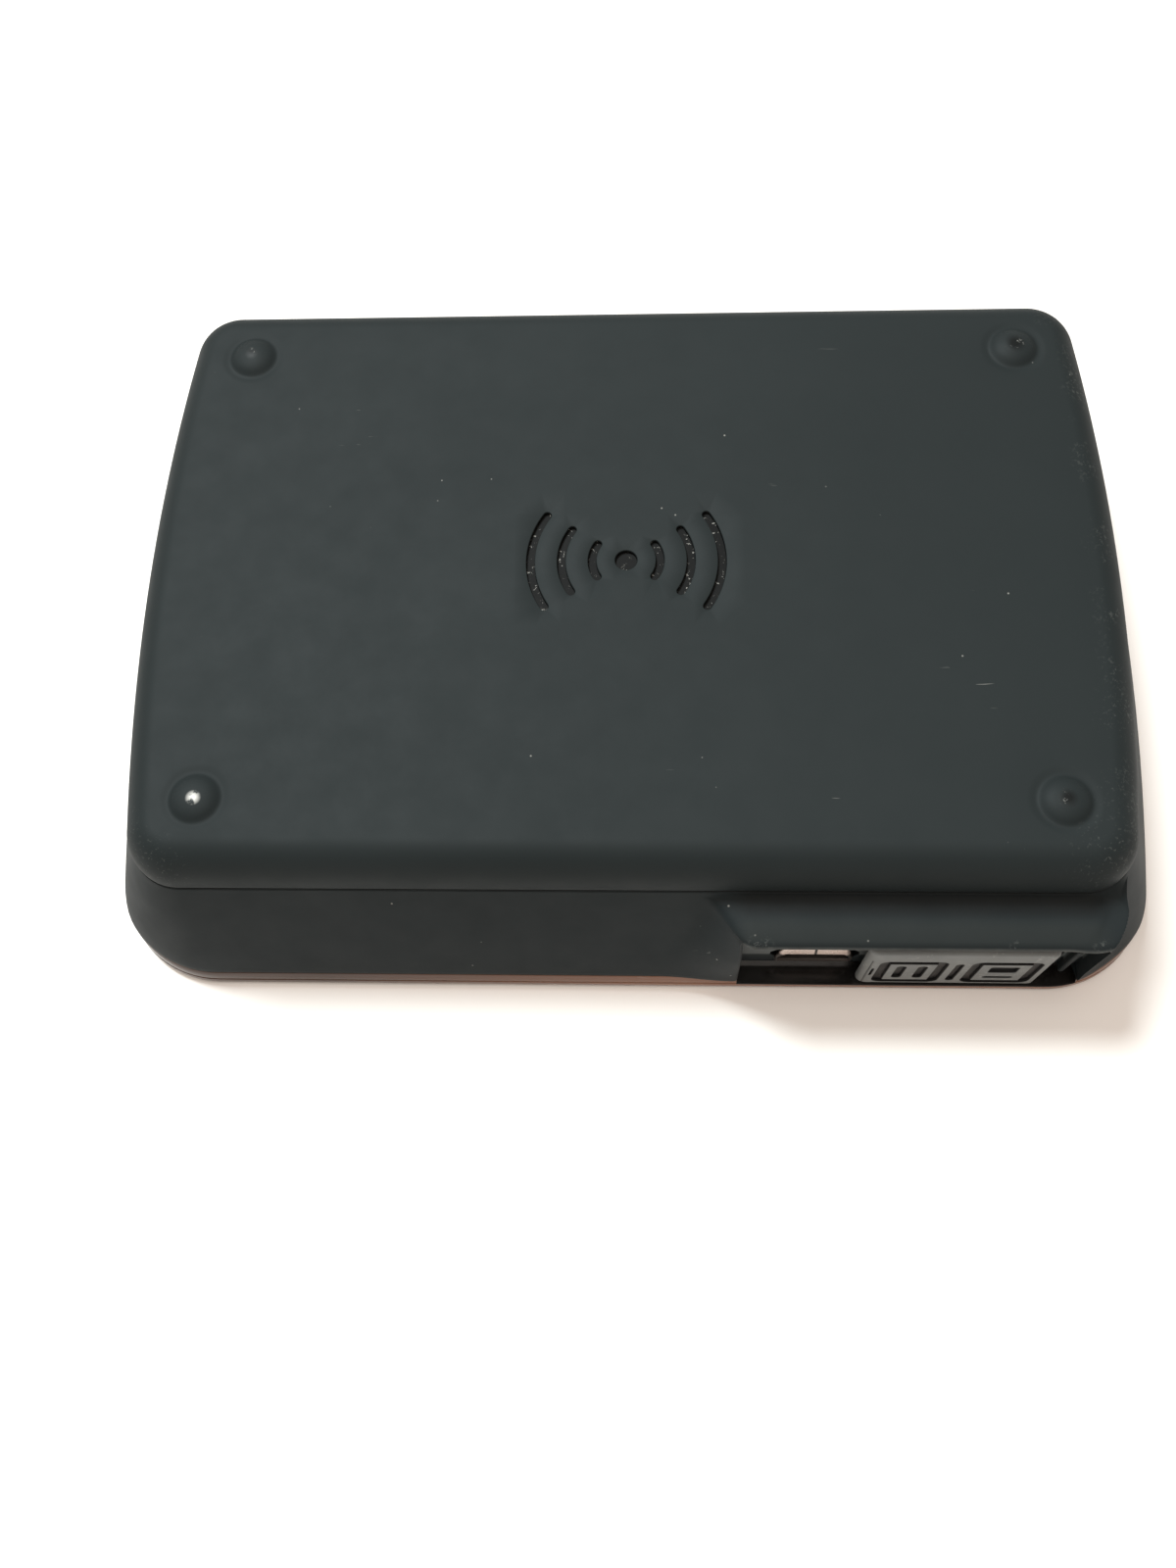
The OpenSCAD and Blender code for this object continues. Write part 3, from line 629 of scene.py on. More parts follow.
def port_recess(shape, grid, left, right, top_row):
    """Rolls the edge of the opening inward and makes the recess behind it. Returns the
    bottom edge of the back wall."""
    border, toward = [], []
    for r in range(top_row):
        border.append(grid[r][left])
        toward.append((1, 0))
    for c in range(left, right + 1):
        border.append(grid[top_row][c])
        toward.append((1 if c == left else 0, -1))
    for r in range(top_row - 1, -1, -1):
        border.append(grid[r][right])
        toward.append((0, 0))
    round_corners(shape, border, shape.verts[grid[top_row][left]],
                  shape.verts[grid[top_row][right]])
    rings = [border]
    for a in steps(0, QUARTER, 5)[1:]:
        side, deep = ROLL * math.sin(a), ROLL * (1 - math.cos(a))
        rings.append(shape.ring([(shape.verts[i][0] + dx * side, shape.verts[i][1] + deep,
                                  shape.verts[i][2] + dz * side)
                                 for i, (dx, dz) in zip(border, toward)]))
    rings.append(shape.ring([(min(max(shape.verts[i][0], PORT_X0), PORT_X1), RECESS_Y,
                              shape.verts[i][2]) for i in rings[-1]]))
    for a, b in zip(rings, rings[1:]):
        shape.bridge(a, b, closed=False)
    top = rings[-1][top_row:len(rings[-1]) - top_row]
    low_z = shape.verts[rings[-1][0]][2]
    bottom = shape.ring([(shape.verts[i][0], RECESS_Y, low_z) for i in top])
    bottom[0], bottom[-1] = rings[-1][0], rings[-1][-1]
    outline = rings[-1] + list(reversed(bottom[1:-1]))
    holes = [pocket(shape, loop, depth) for loop, depth in recess_pockets()]
    shape.fill(outline, holes, axes=(0, 2))
    return bottom


MICRO_LOW, MICRO_HIGH = box_mm("micro_usb_shell")
MICRO_X = middle(MICRO_LOW, MICRO_HIGH)[0]
MICRO_Z = MICRO_LOW.z
MICRO_H = 2.85
USB_LOW, USB_HIGH = box_mm("usb_a_shell")
USB_X, _, USB_Z = middle(USB_LOW, USB_HIGH)
TRACK_Z = 10.4


def recess_pockets():
    """Outlines (x, z) and depths of what is sunk into the back wall of the recess."""
    z0, z1 = MICRO_Z - 0.52, MICRO_Z + MICRO_H + 1.15
    low, high = MICRO_Z + 1.9, MICRO_Z + 2.7
    micro = [(MICRO_X - 2.8, z0), (MICRO_X + 2.8, z0), (MICRO_X + 4.3, low), (MICRO_X + 4.3, high),
             (MICRO_X + 3.4, z1), (MICRO_X - 3.4, z1), (MICRO_X - 4.3, high), (MICRO_X - 4.3, low)]
    usb = round_rect(USB_HIGH.x - USB_LOW.x + 0.4, USB_HIGH.z - USB_LOW.z + 0.3, 0.4, 4,
                     cx=USB_X, cy=USB_Z + 0.11)
    slot = round_rect(PORT_X1 - PORT_X0 - 0.5, 1.2, 0.1, 2, cx=(PORT_X0 + PORT_X1) / 2, cy=TRACK_Z)
    return [(micro, 1.3), (usb, 1.2), (slot, 1.0)]


def pocket(shape, loop, depth):
    cx = sum(p[0] for p in loop) / len(loop)
    cz = sum(p[1] for p in loop) / len(loop)
    rings = shape.skin([[(x + math.copysign(grow, x - cx), RECESS_Y + y,
                          z + math.copysign(grow, z - cz)) for x, z in loop]
                        for y, grow in ((0.0, 0.06), (0.04, 0.015), (0.12, 0.0), (depth, 0.0))])
    shape.fill(rings[-1], axes=(0, 2))
    return rings[0]


PACK_LOW, PACK_HIGH = box_mm("battery_pack")
SCREW_R, SCREW_HEAD_R = 0.63, 1.5
SCREW_Y = 26.3
SCREWS = [(-40, -SCREW_Y), (-8, -SCREW_Y), (25.3, -SCREW_Y), (-40, SCREW_Y), (40, SCREW_Y)]
SEAT_Z = FLOOR_Z + 0.6


def bay_fittings(shape):
    """What stands on the floor of the battery bay: the ribs, the screw seats, and the small
    rib at the end of the port recess."""
    sink = 0.3
    rib_x = PACK_HIGH.x + 1.1
    plate(shape, 1.2, PACK_HIGH.y - PACK_LOW.y, 0.3, FLOOR_Z - sink, FLOOR_Z + 2.4, 0.2, cx=rib_x)
    for side in (-1, 1):
        for x in (-27, 15):
            plate(shape, 6, 1, 0.3, FLOOR_Z - sink, FLOOR_Z + 3, 0.2, cx=x,
                  cy=side * (PACK_HIGH.y + 1))
    for x, y in SCREWS:
        rings = [at_z(circle(x, y, 2.3 - i, 36), z)
                 for i, z in rounded_edge(FLOOR_Z - sink, SEAT_Z, 0.15)]
        shape.solid(rings)
    plate(shape, 0.6, 1.1, 0.2, RIM_Z + 0.1, TRACK_Z - 0.8, 0.1, cx=42.6, cy=RECESS_Y - 0.35)


# ---- Front frame, lens and keys ----

LENS_LOW, LENS_HIGH = box_mm("display_lens")
LENS_Y = middle(LENS_LOW, LENS_HIGH)[1]
LENS_W, LENS_D = LENS_HIGH.x - LENS_LOW.x, LENS_HIGH.y - LENS_LOW.y
PANEL_LOW, PANEL_HIGH = box_mm("display_panel")
PANEL_W, PANEL_D = PANEL_HIGH.x - PANEL_LOW.x, PANEL_HIGH.y - PANEL_LOW.y
FRAME_TOP = RIM_Z - SEAM_GAP
LENS_SEAT_Z = 1.15
KEY_W, KEY_D, KEY_R = 12.0, 5.0, 1.4
KEY_PLAY, KEY_FLANGE = 0.2, 0.8
FLANGE_SEAT_Z = 1.3
KEYS = ("key_left", "key_home", "key_right")
LIGHT_X, LIGHT_Y, _ = middle(*box_mm("light_pipe"))


def key_middle(node):
    return middle(*box_mm(node))[:2]


def frame_stations():
    before = steps(-CORNER_X, PORT_X0, 20)
    near = before + steps(PORT_X0, CORNER_X, 12)[1:]
    right_a = math.asin((PORT_X1 - CORNER_X) / CORNER_R)
    first = steps(0, right_a, 6)[1:]
    places = stations(near, corner=18,
                      near_right=first + steps(right_a, QUARTER - CORNER_A, 18)[1:])
    return places, len(before) - 1, len(near) - 1 + len(first)


def front_frame():
    shape = Shape()
    places, left, right = frame_stations()
    low = [(0.9, 0.0), (0.6, 0.015), (0.36, 0.07), (0.18, 0.18), (0.07, 0.34), (0.01, 0.55),
           (0.0, 0.8), (0.06, PORT_Z0 - 0.08), (0.14, PORT_Z0)]
    made = shape.skin([level(places, i, z) for i, z in low])
    outside = list(range(right, len(places))) + list(range(left + 1))
    part = [places[c] for c in outside]
    upper = [shape.ring([level([place], i + lean * near_side(place[1]), z)[0] for place in part])
             for i, lean, z in ((0.02, 0.12, PORT_Z0 + 0.12), (0.0, 0.36, 2.2),
                                (0.12, 0.4, FRAME_TOP))]
    start = [made[-1][c] for c in outside]
    for a, b in zip([start, *upper], upper):
        shape.bridge(a, b, closed=False)
    edge = made[-1][left:right + 1]
    foot = shape.ring([(shape.verts[i][0], RECESS_Y, PORT_Z0) for i in edge])
    head = shape.ring([(shape.verts[i][0], RECESS_Y, FRAME_TOP) for i in edge])
    shape.bridge(edge, foot, closed=False)
    shape.bridge(foot, head, closed=False)
    shape.faces.append((edge[0], *[ring[-1] for ring in upper], head[0], foot[0]))
    shape.faces.append((edge[-1], foot[-1], head[-1], *[ring[0] for ring in reversed(upper)]))
    pairs = [lens_opening(shape)] + [key_opening(shape, node) for node in KEYS]
    pairs.append(shaft(shape, lambda d: circle(LIGHT_X, LIGHT_Y, 0.85 + d, 24),
                       [(0.08, 0.0), (0.0, 0.08), (0.0, FRAME_TOP)]))
    shape.fill(made[0], [pair[0] for pair in pairs], flip=True)
    shape.fill(upper[-1] + head, [pair[1] for pair in pairs])
    return shape.make("front_frame_shell", 30)


def shaft(shape, outline, rows):
    made = shape.skin([at_z(outline(grow), z) for grow, z in rows])
    return made[0], made[-1]


def lens_opening(shape):
    outer = shaft(shape, lambda d: round_rect(LENS_W + 0.2 + d, LENS_D + 0.2 + d, 2.1, cy=LENS_Y),
                  [(0.14, 0.0), (0.0, 0.08), (0.0, LENS_SEAT_Z)])
    window = shaft(shape, lambda d: round_rect(PANEL_W + 0.4, PANEL_D + 0.4, 0.8, cy=LENS_Y),
                   [(0.0, LENS_SEAT_Z), (0.0, FRAME_TOP)])
    shape.fill(outer[1], [window[0]])
    return outer[0], window[1]


def key_opening(shape, node):
    x, y = key_middle(node)

    def outline(d):
        grow = 2 * (KEY_PLAY + d)
        return round_rect(KEY_W + grow, KEY_D + grow, KEY_R + KEY_PLAY, cx=x, cy=y)

    made = shape.skin([at_z(outline(d), z) for d, z in (
        (0.08, 0.0), (0.0, 0.1), (0.0, FLANGE_SEAT_Z), (KEY_FLANGE, FLANGE_SEAT_Z),
        (KEY_FLANGE, FRAME_TOP))])
    return made[0], made[-1]


def key_sign(node):
    """An arrow head that points outward. The middle key has none, and gets a ring instead."""
    if node == "key_home":
        return None
    way = -1 if node == "key_left" else 1

    def arrow(d):
        w, reach = 0.5 - 2 * d, 1.1
        tip = way * reach / 2
        back = tip - way * reach
        points = [(back, reach + w * 0.7), (tip + way * w * 0.7, 0), (back, -reach - w * 0.7),
                  (back - way * w * 0.7, -reach), (tip - way * w * 0.7, 0),
                  (back - way * w * 0.7, reach)]
        return points if way < 0 else points[::-1]
    return arrow


def front_key(node):
    low, high = box_mm(node)
    x, y = key_middle(node)
    shape = Shape(place=lambda u, v, w: (x + u, y + v, high.z - w))
    deep = high.z - low.z
    rows = [(-KEY_FLANGE, 0.0), (-KEY_FLANGE, 0.55), (0.0, 0.55)]
    rows += [(i, w) for i, w in rounded_edge(0, deep, 0.32)[5:]]
    made = shape.skin([at_z(round_rect(KEY_W - 2 * i, KEY_D - 2 * i, max(KEY_R - i, 0.4)), w)
                       for i, w in rows])
    shape.fill(made[0], flip=True)
    profile = [(0.0, 0.0), (0.03, -0.03), (0.06, -0.12)]
    sign = key_sign(node)
    if sign:
        holes = engrave(shape, [sign], lambda u, v: deep, profile)
    else:
        holes = [engrave_loop(shape, lambda d: circle(0, 0, 1.15 - d, 32), 0.42,
                              lambda u, v: deep, profile)]
    shape.fill(made[-1], holes)
    return shape.make(node + "_cap", 34)


def display_lens():
    shape = Shape()
    plate(shape, LENS_W, LENS_D, 2.0, LENS_LOW.z, LENS_HIGH.z, 0.12, cy=LENS_Y)
    return shape.make("display_lens_glass", 30)


# ---- Port door ----

DOOR_LOW, DOOR_HIGH = box_mm("port_door")
DOOR_T = 0.95
DOOR_W, DOOR_H = DOOR_HIGH.x - DOOR_LOW.x, DOOR_HIGH.z - DOOR_LOW.z
DOOR_X, _, DOOR_Z = middle(DOOR_LOW, DOOR_HIGH)
SIGN_Z = -1.05
SIGN_H, SIGN_STROKE, SIGN_CORNER = 8.0, 1.1, 1.1
BATTERY_SIGN_X, CARD_SIGN_X, DIVIDER_X = -4.1, 4.6, 0.2
door_profile = [(0.0, 0.0), (0.03, -0.02), (0.08, -0.09), (0.12, -0.3)]


def door_outline(d):
    """The left rim is bevelled more than twice as wide as the others."""
    return round_rect(DOOR_W - 3.2 * d, DOOR_H - 2 * d, max(0.5 - 0.4 * d, 0.2), cx=0.6 * d)


def moved(outline, cx, cy):
    return lambda d: [(cx + u, cy + v) for u, v in outline(d)]


def sign_frame(shape, front, cx, width, islands):
    """The rounded outline of a sign on the door, with what is sunk inside it."""
    outline = moved(lambda d: round_rect(width - 2 * d, SIGN_H - 2 * d, SIGN_CORNER - d),
                    cx, SIGN_Z)
    return engrave_loop(shape, outline, SIGN_STROKE, front, door_profile, islands)


def upright(half, width, cx):
    """An upright stroke on the door."""
    return moved(lambda d: bar((0, -half), (0, half), width - 2 * d), cx, SIGN_Z)


def battery_sign(shape, front):
    """An outline with a tab on its left and two upright bars inside."""
    bars = [upright(1.8, 1.0, BATTERY_SIGN_X + u) for u in (-1.0, 1.0)]
    ring = sign_frame(shape, front, BATTERY_SIGN_X, 6.5, bars)
    return [ring, *engrave(shape, [upright(1.1, 0.6, BATTERY_SIGN_X - 3.75)], front, door_profile)]


def card_sign(shape, front):
    """An outline with a small card over a slot inside."""
    card = moved(lambda d: round_rect(2.8 - 2 * d, 2.2 - 2 * d, 0.3), CARD_SIGN_X, SIGN_Z + 1.1)
    slit = moved(lambda d: bar((-1.1, 0), (1.1, 0), 0.8 - 2 * d), CARD_SIGN_X, SIGN_Z - 1.7)
    return [sign_frame(shape, front, CARD_SIGN_X, 6.7, [card, slit])]


def port_door():
    back = DOOR_LOW.y + DOOR_T
    shape = Shape(place=lambda u, v, w: (DOOR_X + u, back - w, DOOR_Z + v))
    rows = [(0.08, 0.0), (0.0, 0.08), (0.0, 0.45), (0.05, 0.66), (0.14, 0.82), (0.26, 0.92),
            (0.36, DOOR_T)]
    made = shape.skin([at_z(door_outline(i), w) for i, w in rows])
    shape.fill(made[0], flip=True)

    def front(u, v):
        return DOOR_T

    holes = battery_sign(shape, front) + card_sign(shape, front)
    holes += engrave(shape, [upright(2.8, 0.85, DIVIDER_X)], front, door_profile)
    shape.fill(made[-1], holes)
    lug_deep = DOOR_HIGH.y - back
    for u in (-DOOR_W / 2 + 3, DOOR_W / 2 - 3):
        plate(shape, 3, 0.8, 0.15, -lug_deep, 0.15, 0.08, cx=u, cy=TRACK_Z - DOOR_Z)
    return shape.make("port_door_panel", 30)


# ---- Sockets ----


def rounded_polygon(corners, r, count=4):
    """A convex counter-clockwise polygon with each corner rounded."""
    out = []
    for k, p in enumerate(corners):
        p = Vector(p)
        a = (Vector(corners[k - 1]) - p).normalized()
        b = (Vector(corners[(k + 1) % len(corners)]) - p).normalized()
        half = a.angle(b) / 2
        centre = p + (a + b).normalized() * (r / math.sin(half))
        a0 = math.atan2(*reversed(p + a * (r / math.tan(half)) - centre))
        a1 = math.atan2(*reversed(p + b * (r / math.tan(half)) - centre))
        a1 += 2 * math.pi * (a1 < a0)
        out += arc_points(centre.x, centre.y, r, a0, a1, count)
    return out


def offset_loop(loop, d):
    """A counter-clockwise loop moved outward by d."""
    out = []
    for k, p in enumerate(loop):
        a, b = loop[k - 1], loop[(k + 1) % len(loop)]
        tx, ty = b[0] - a[0], b[1] - a[1]
        size = math.hypot(tx, ty)
        out.append((p[0] + d * ty / size, p[1] - d * tx / size))
    return out


METAL_T = 0.3


def micro_usb_socket():
    """The shell of the socket. Its mouth is flared, most on its narrow upper side."""
    half, narrow, shoulder = 3.75, 2.9, 1.4
    profile = rounded_polygon([(-half, 0), (half, 0), (half, shoulder), (narrow, MICRO_H),
                               (-narrow, MICRO_H), (-half, shoulder)], 0.35)

    def lip(d, flare, y):
        grown = offset_loop(profile, d)
        return [(u, v + flare * (smoothstep(1.9, 2.6, v) - 0.4 * (1 - smoothstep(0.2, 0.6, v))), y)
                for u, v in grown]

    shape = Shape(place=lambda u, v, w: (MICRO_X + u, RECESS_Y + w, MICRO_Z + v))
    deep = MICRO_HIGH.y - RECESS_Y
    shape.solid([lip(*row) for row in (
        (-METAL_T, 0, deep - METAL_T), (-METAL_T, 0, 0.3), (-0.3, 0, 0), (-0.27, 0, -0.12),
        (-0.2, 0.03, -0.2), (-0.1, 0.15, -0.21), (0.0, 0.45, -0.15), (0.04, 0.8, -0.07),
        (0.06, 1.05, 0.02), (0.08, 1.08, 0.1), (0.05, 1.02, 0.18), (0.02, 0.6, 0.12),
        (0.0, 0.25, 0.1), (0.0, 0.04, 0.25), (0.0, 0.0, 0.6), (0.0, 0.0, deep))])
    for side in (-1, 1):
        u = side * (half - METAL_T / 2)
        plate(shape, METAL_T, MICRO_HIGH.z - MICRO_Z - 1, 0.05, 2.5, 3.9, 0.05, cx=u,
              cy=(MICRO_HIGH.z - MICRO_Z + 1) / 2)
    return shape.make("micro_usb_socket", 35)


def usb_a_socket():
    shape = Shape(place=lambda u, v, w: (USB_X + u, RECESS_Y + w, USB_Z + v))
    profile = round_rect(USB_HIGH.x - USB_LOW.x, USB_HIGH.z - USB_LOW.z, 0.5)
    deep = USB_HIGH.y - RECESS_Y
    shape.solid([at_z(offset_loop(profile, d), w) for d, w in (
        (-METAL_T, deep - METAL_T), (-METAL_T, 0.55), (-0.24, 0.35), (-0.1, 0.18), (0.02, 0.12),
        (0.09, 0.16), (0.08, 0.28), (0.0, 0.5), (0.0, deep))])
    return shape.make("usb_a_socket", 35)


# ---- Side key ----


def side_key():
    z = (KEY_Z0 + KEY_Z1) / 2
    near_by = 0.1
    slope = math.atan((wall_inset(z + near_by) - wall_inset(z - near_by)) / (2 * near_by))
    y, c, s = HALF_D - wall_inset(z), math.cos(slope), math.sin(slope)
    shape = Shape(place=lambda u, v, w: (KEY_X - u, y + w * c - v * s, z + v * c + w * s))
    rows = [(0.0, -1.5), (0.0, 0.02), (0.03, 0.14), (0.09, 0.22), (0.2, 0.28), (0.4, 0.31),
            (0.65, 0.325)]
    made = shape.skin([at_z(round_rect(10 - 2 * i, 1.95 - 2 * i, max(0.8 - i, 0.1)), w)
                       for i, w in rows])
    shape.fill(made[0], flip=True)
    shape.fill(made[-1])
    return shape.make("side_key_cap", 30)


# ---- Battery bay ----


def battery_body():
    low, high = PACK_LOW, PACK_HIGH
    cx, cy, _ = middle(low, high)
    w, d = high.x - low.x, high.y - low.y
    shape = Shape()
    made = shape.skin([at_z(round_rect(w - 2 * i, d - 2 * i, max(1.6 - 0.4 * i, 0.4), cx=cx, cy=cy),
                            z) for i, z in rounded_edge(low.z, high.z, 0.9, 7)])
    shape.fill(made[0], flip=True)
    label_low, label_high = box_mm("battery_label")
    play = 0.15
    label_x, label_y, _ = middle(label_low, label_high)
    loop = round_rect(label_high.x - label_low.x + play, label_high.y - label_low.y + play, 0.6,
                      cx=label_x, cy=label_y)
    field = shape.skin([at_z(loop, high.z), at_z(loop, label_low.z - 0.01)])
    shape.fill(field[-1])
    shape.fill(made[-1], [field[0]])
    body = shape.make("battery_body")
    contact_low, contact_high = box_mm("battery_contacts")
    window = Shape()
    plate(window, contact_high.x - contact_low.x + 0.8, 2.0, 0.2, contact_low.z - 0.2,
          contact_high.z + 0.2, 0.05, cx=middle(contact_low, contact_high)[0],
          cy=contact_low.y + 1.0)
    return carve(body, window.make("window"))


def screw_set():
    """Pan-head screws with a cross recess, each turned a little differently."""
    low, high = box_mm("housing_screws")
    half, arm = 0.85, 0.2

    def cross(d, turn):
        points = []
        for k in range(4):
            c, s = math.cos(turn + k * QUARTER), math.sin(turn + k * QUARTER)
            for u, v in ((half - d, -arm + d), (half - d, arm - d), (arm - d, arm - d)):
                points.append((c * u - s * v, s * u + c * v))
        return points

    shape = Shape()
    head_z = high.z - 1.0
    for k, (x, y) in enumerate(SCREWS):
        rows = [(0.25, low.z), (SCREW_R, low.z + 0.6), (SCREW_R, head_z), (1.38, head_z),
                (SCREW_HEAD_R, head_z + 0.12), (SCREW_HEAD_R, head_z + 0.45)]
        rows += [(0.95 + 0.55 * math.cos(a), head_z + 0.45 + 0.55 * math.sin(a))
                 for a in steps(0, QUARTER, 6)[1:]]
        made = shape.skin([at_z(circle(x, y, r, 36), z) for r, z in rows])
        shape.fill(made[0], flip=True)
        turn = 0.6 * k + 0.2
        stroke = moved(lambda d, turn=turn: cross(d, turn), x, y)
        holes = engrave(shape, [stroke], lambda u, v: high.z,
                        [(0.0, 0.0), (0.04, -0.05), (0.1, -0.5)])
        shape.fill(made[-1], holes)
    return shape.make("case_screws", 34)


# ---- Materials ----


class Paint:
    """A node material: helpers that add one node each. Masks run from 0 to 1."""

    def __init__(self, name, **sockets):
        self.material = bpy.data.materials.new(name)
        self.material.use_nodes = True
        self.tree = self.material.node_tree
        self.shader = self.tree.nodes["Principled BSDF"]
        for key, value in sockets.items():
            self.shader.inputs[key.replace("_", " ")].default_value = value
        self.place = self.tree.nodes.new("ShaderNodeTexCoord").outputs["Object"]
        self.axes = self.node("ShaderNodeSeparateXYZ", {0: self.place}).outputs

    def node(self, kind, links=None, **values):
        made = self.tree.nodes.new(kind)
        for key, value in values.items():
            setattr(made, key, value)
        for key, value in (links or {}).items():
            if isinstance(value, bpy.types.NodeSocket):
                self.tree.links.new(value, made.inputs[key])
            else:
                made.inputs[key].default_value = value
        return made

    def stretch(self, scale, turn=(0, 0, 0)):
        return self.node("ShaderNodeMapping", {"Vector": self.place, "Scale": scale,
                                               "Rotation": turn}).outputs[0]

    def noise(self, scale, detail=4.0, rough=0.55, vector=None, distort=0.0):
        made = self.node("ShaderNodeTexNoise", {
            "Vector": vector or self.place, "Scale": scale, "Detail": detail,
            "Roughness": rough, "Distortion": distort})
        return made.outputs["Fac"]

    def dots(self, scale, size, vector=None):
        """Small round spots."""
        made = self.node("ShaderNodeTexVoronoi", {"Vector": vector or self.place, "Scale": scale})
        return self.band(made.outputs["Distance"], size, size * 0.6)

    def cells(self, scale):
        return self.node("ShaderNodeTexVoronoi", {"Vector": self.place,
                                                  "Scale": scale}).outputs["Distance"]

    def band(self, value, low, high, out_low=0.0, out_high=1.0):
        made = self.node("ShaderNodeMapRange", {
            "Value": value, "From Min": low, "From Max": high, "To Min": out_low,
            "To Max": out_high}, clamp=True)
        return made.outputs[0]

    def math(self, kind, a, b=0.0):
        return self.node("ShaderNodeMath", {0: a, 1: b}, operation=kind).outputs[0]

    def both(self, *masks):
        out = masks[0]
        for mask in masks[1:]:
            out = self.math("MULTIPLY", out, mask)
        return out

    def either(self, *masks):
        out = masks[0]
        for mask in masks[1:]:
            out = self.math("MAXIMUM", out, mask)
        return out

    def ramp(self, axis, low, high, out_low=0.0, out_high=1.0):
        """Rises from low to high, two places in millimetres along an axis."""
        return self.band(self.axes[axis], low * MM, high * MM, out_low, out_high)

    def between(self, axis, low, high, soft):
        """The slab between two places, in millimetres, along an axis."""
        return self.both(self.ramp(axis, low - soft, low), self.ramp(axis, high + soft, high))

    def near(self, point, radius, core=0.3):
        """Fades out from a point, in millimetres."""
        away = self.node("ShaderNodeVectorMath", {0: self.place, 1: Vector(point) * MM},
                         operation="DISTANCE").outputs["Value"]
        return self.band(away, radius * MM, radius * core * MM)

    def mix(self, factor, a, b, amount=None):
        """Goes from colour a to colour b. amount weakens the factor."""
        if amount:
            factor = self.math("MULTIPLY", factor, amount)
        made = self.node("ShaderNodeMix", data_type="RGBA")
        for key, value in ((0, factor), (6, a), (7, b)):
            if isinstance(value, bpy.types.NodeSocket):
                self.tree.links.new(value, made.inputs[key])
            else:
                made.inputs[key].default_value = value
        return made.outputs[2]

    def bump(self, height, strength, distance_mm, below=None):
        links = {"Height": height, "Strength": strength, "Distance": distance_mm * MM}
        if below:
            links["Normal"] = below
        return self.node("ShaderNodeBump", links).outputs[0]

    def use(self, **sockets):
        for key, value in sockets.items():
            self.tree.links.new(value, self.shader.inputs[key.replace("_", " ")])
        return self.material


def rgb(r, g, b):
    """Linear colour from the 0 to 255 values of a display."""
    def linear(c):
        c /= 255
        return c / 12.92 if c <= 0.04045 else ((c + 0.055) / 1.055) ** 2.4
    return (linear(r), linear(g), linear(b), 1.0)


DUST = rgb(168, 168, 162)


def hairs(p, turn, zone, fine=1500):
    """Short hair-thin lines in one direction, only inside a zone."""
    line = p.noise(1.0, 2, 0.5, vector=p.stretch((fine * 0.09, fine, fine * 0.3), (0, 0, turn)),
                   distort=0.4)
    return p.both(p.band(line, 0.7, 0.73), zone)


def flecks(p, zone, scale=1700, low=0.6, high=0.66):
    """Small ragged flecks, only inside a zone."""
    return p.both(p.band(p.noise(scale, 3, 0.7), low, high), zone)


def coat_base(p, dark, light):
    """Soft-touch coating: nearly even, with faint rubbed clouds, and its fine grain."""
    clouds = p.band(p.noise(28, 4, 0.55), 0.3, 0.7)
    base = p.mix(clouds, dark, light)
    specks = p.both(p.dots(430, 0.05), p.band(p.noise(160, 2, 0.5), 0.56, 0.6))
    base = p.mix(specks, base, DUST, 0.5)
    lint = hairs(p, 0.9, p.band(p.noise(75, 2, 0.5), 0.69, 0.72))
    lint = p.either(lint, hairs(p, 2.2, p.band(p.noise(68, 2, 0.5), 0.3, 0.27)))
    return p.mix(lint, base, DUST, 0.28)


def coat_normal(p):
    grain = p.bump(p.noise(5200, 2, 0.6), 0.22, 0.02)
    return p.bump(p.noise(90, 3, 0.5), 0.05, 0.08, below=grain)


# (turn, x, y, radius) of the scuffs and (x, y, radius) of the worn spots on the cover
SCUFFS = [(1.9, -29.8, 17.8, 4.5), (0.7, -27.5, 15.6, 3.5), (1.2, 13.2, 10.2, 2.5),
          (0.3, 17.5, -24.6, 3), (2.4, 31.3, -15, 4)]
WORN_SPOTS = [(-43.6, -31, 4.5), (-45, -27.5, 3), (43.2, -29.6, 5), (45, -24, 4),
              (45.4, -16, 4), (43, 29, 3)]
WORN_Z = 18.5


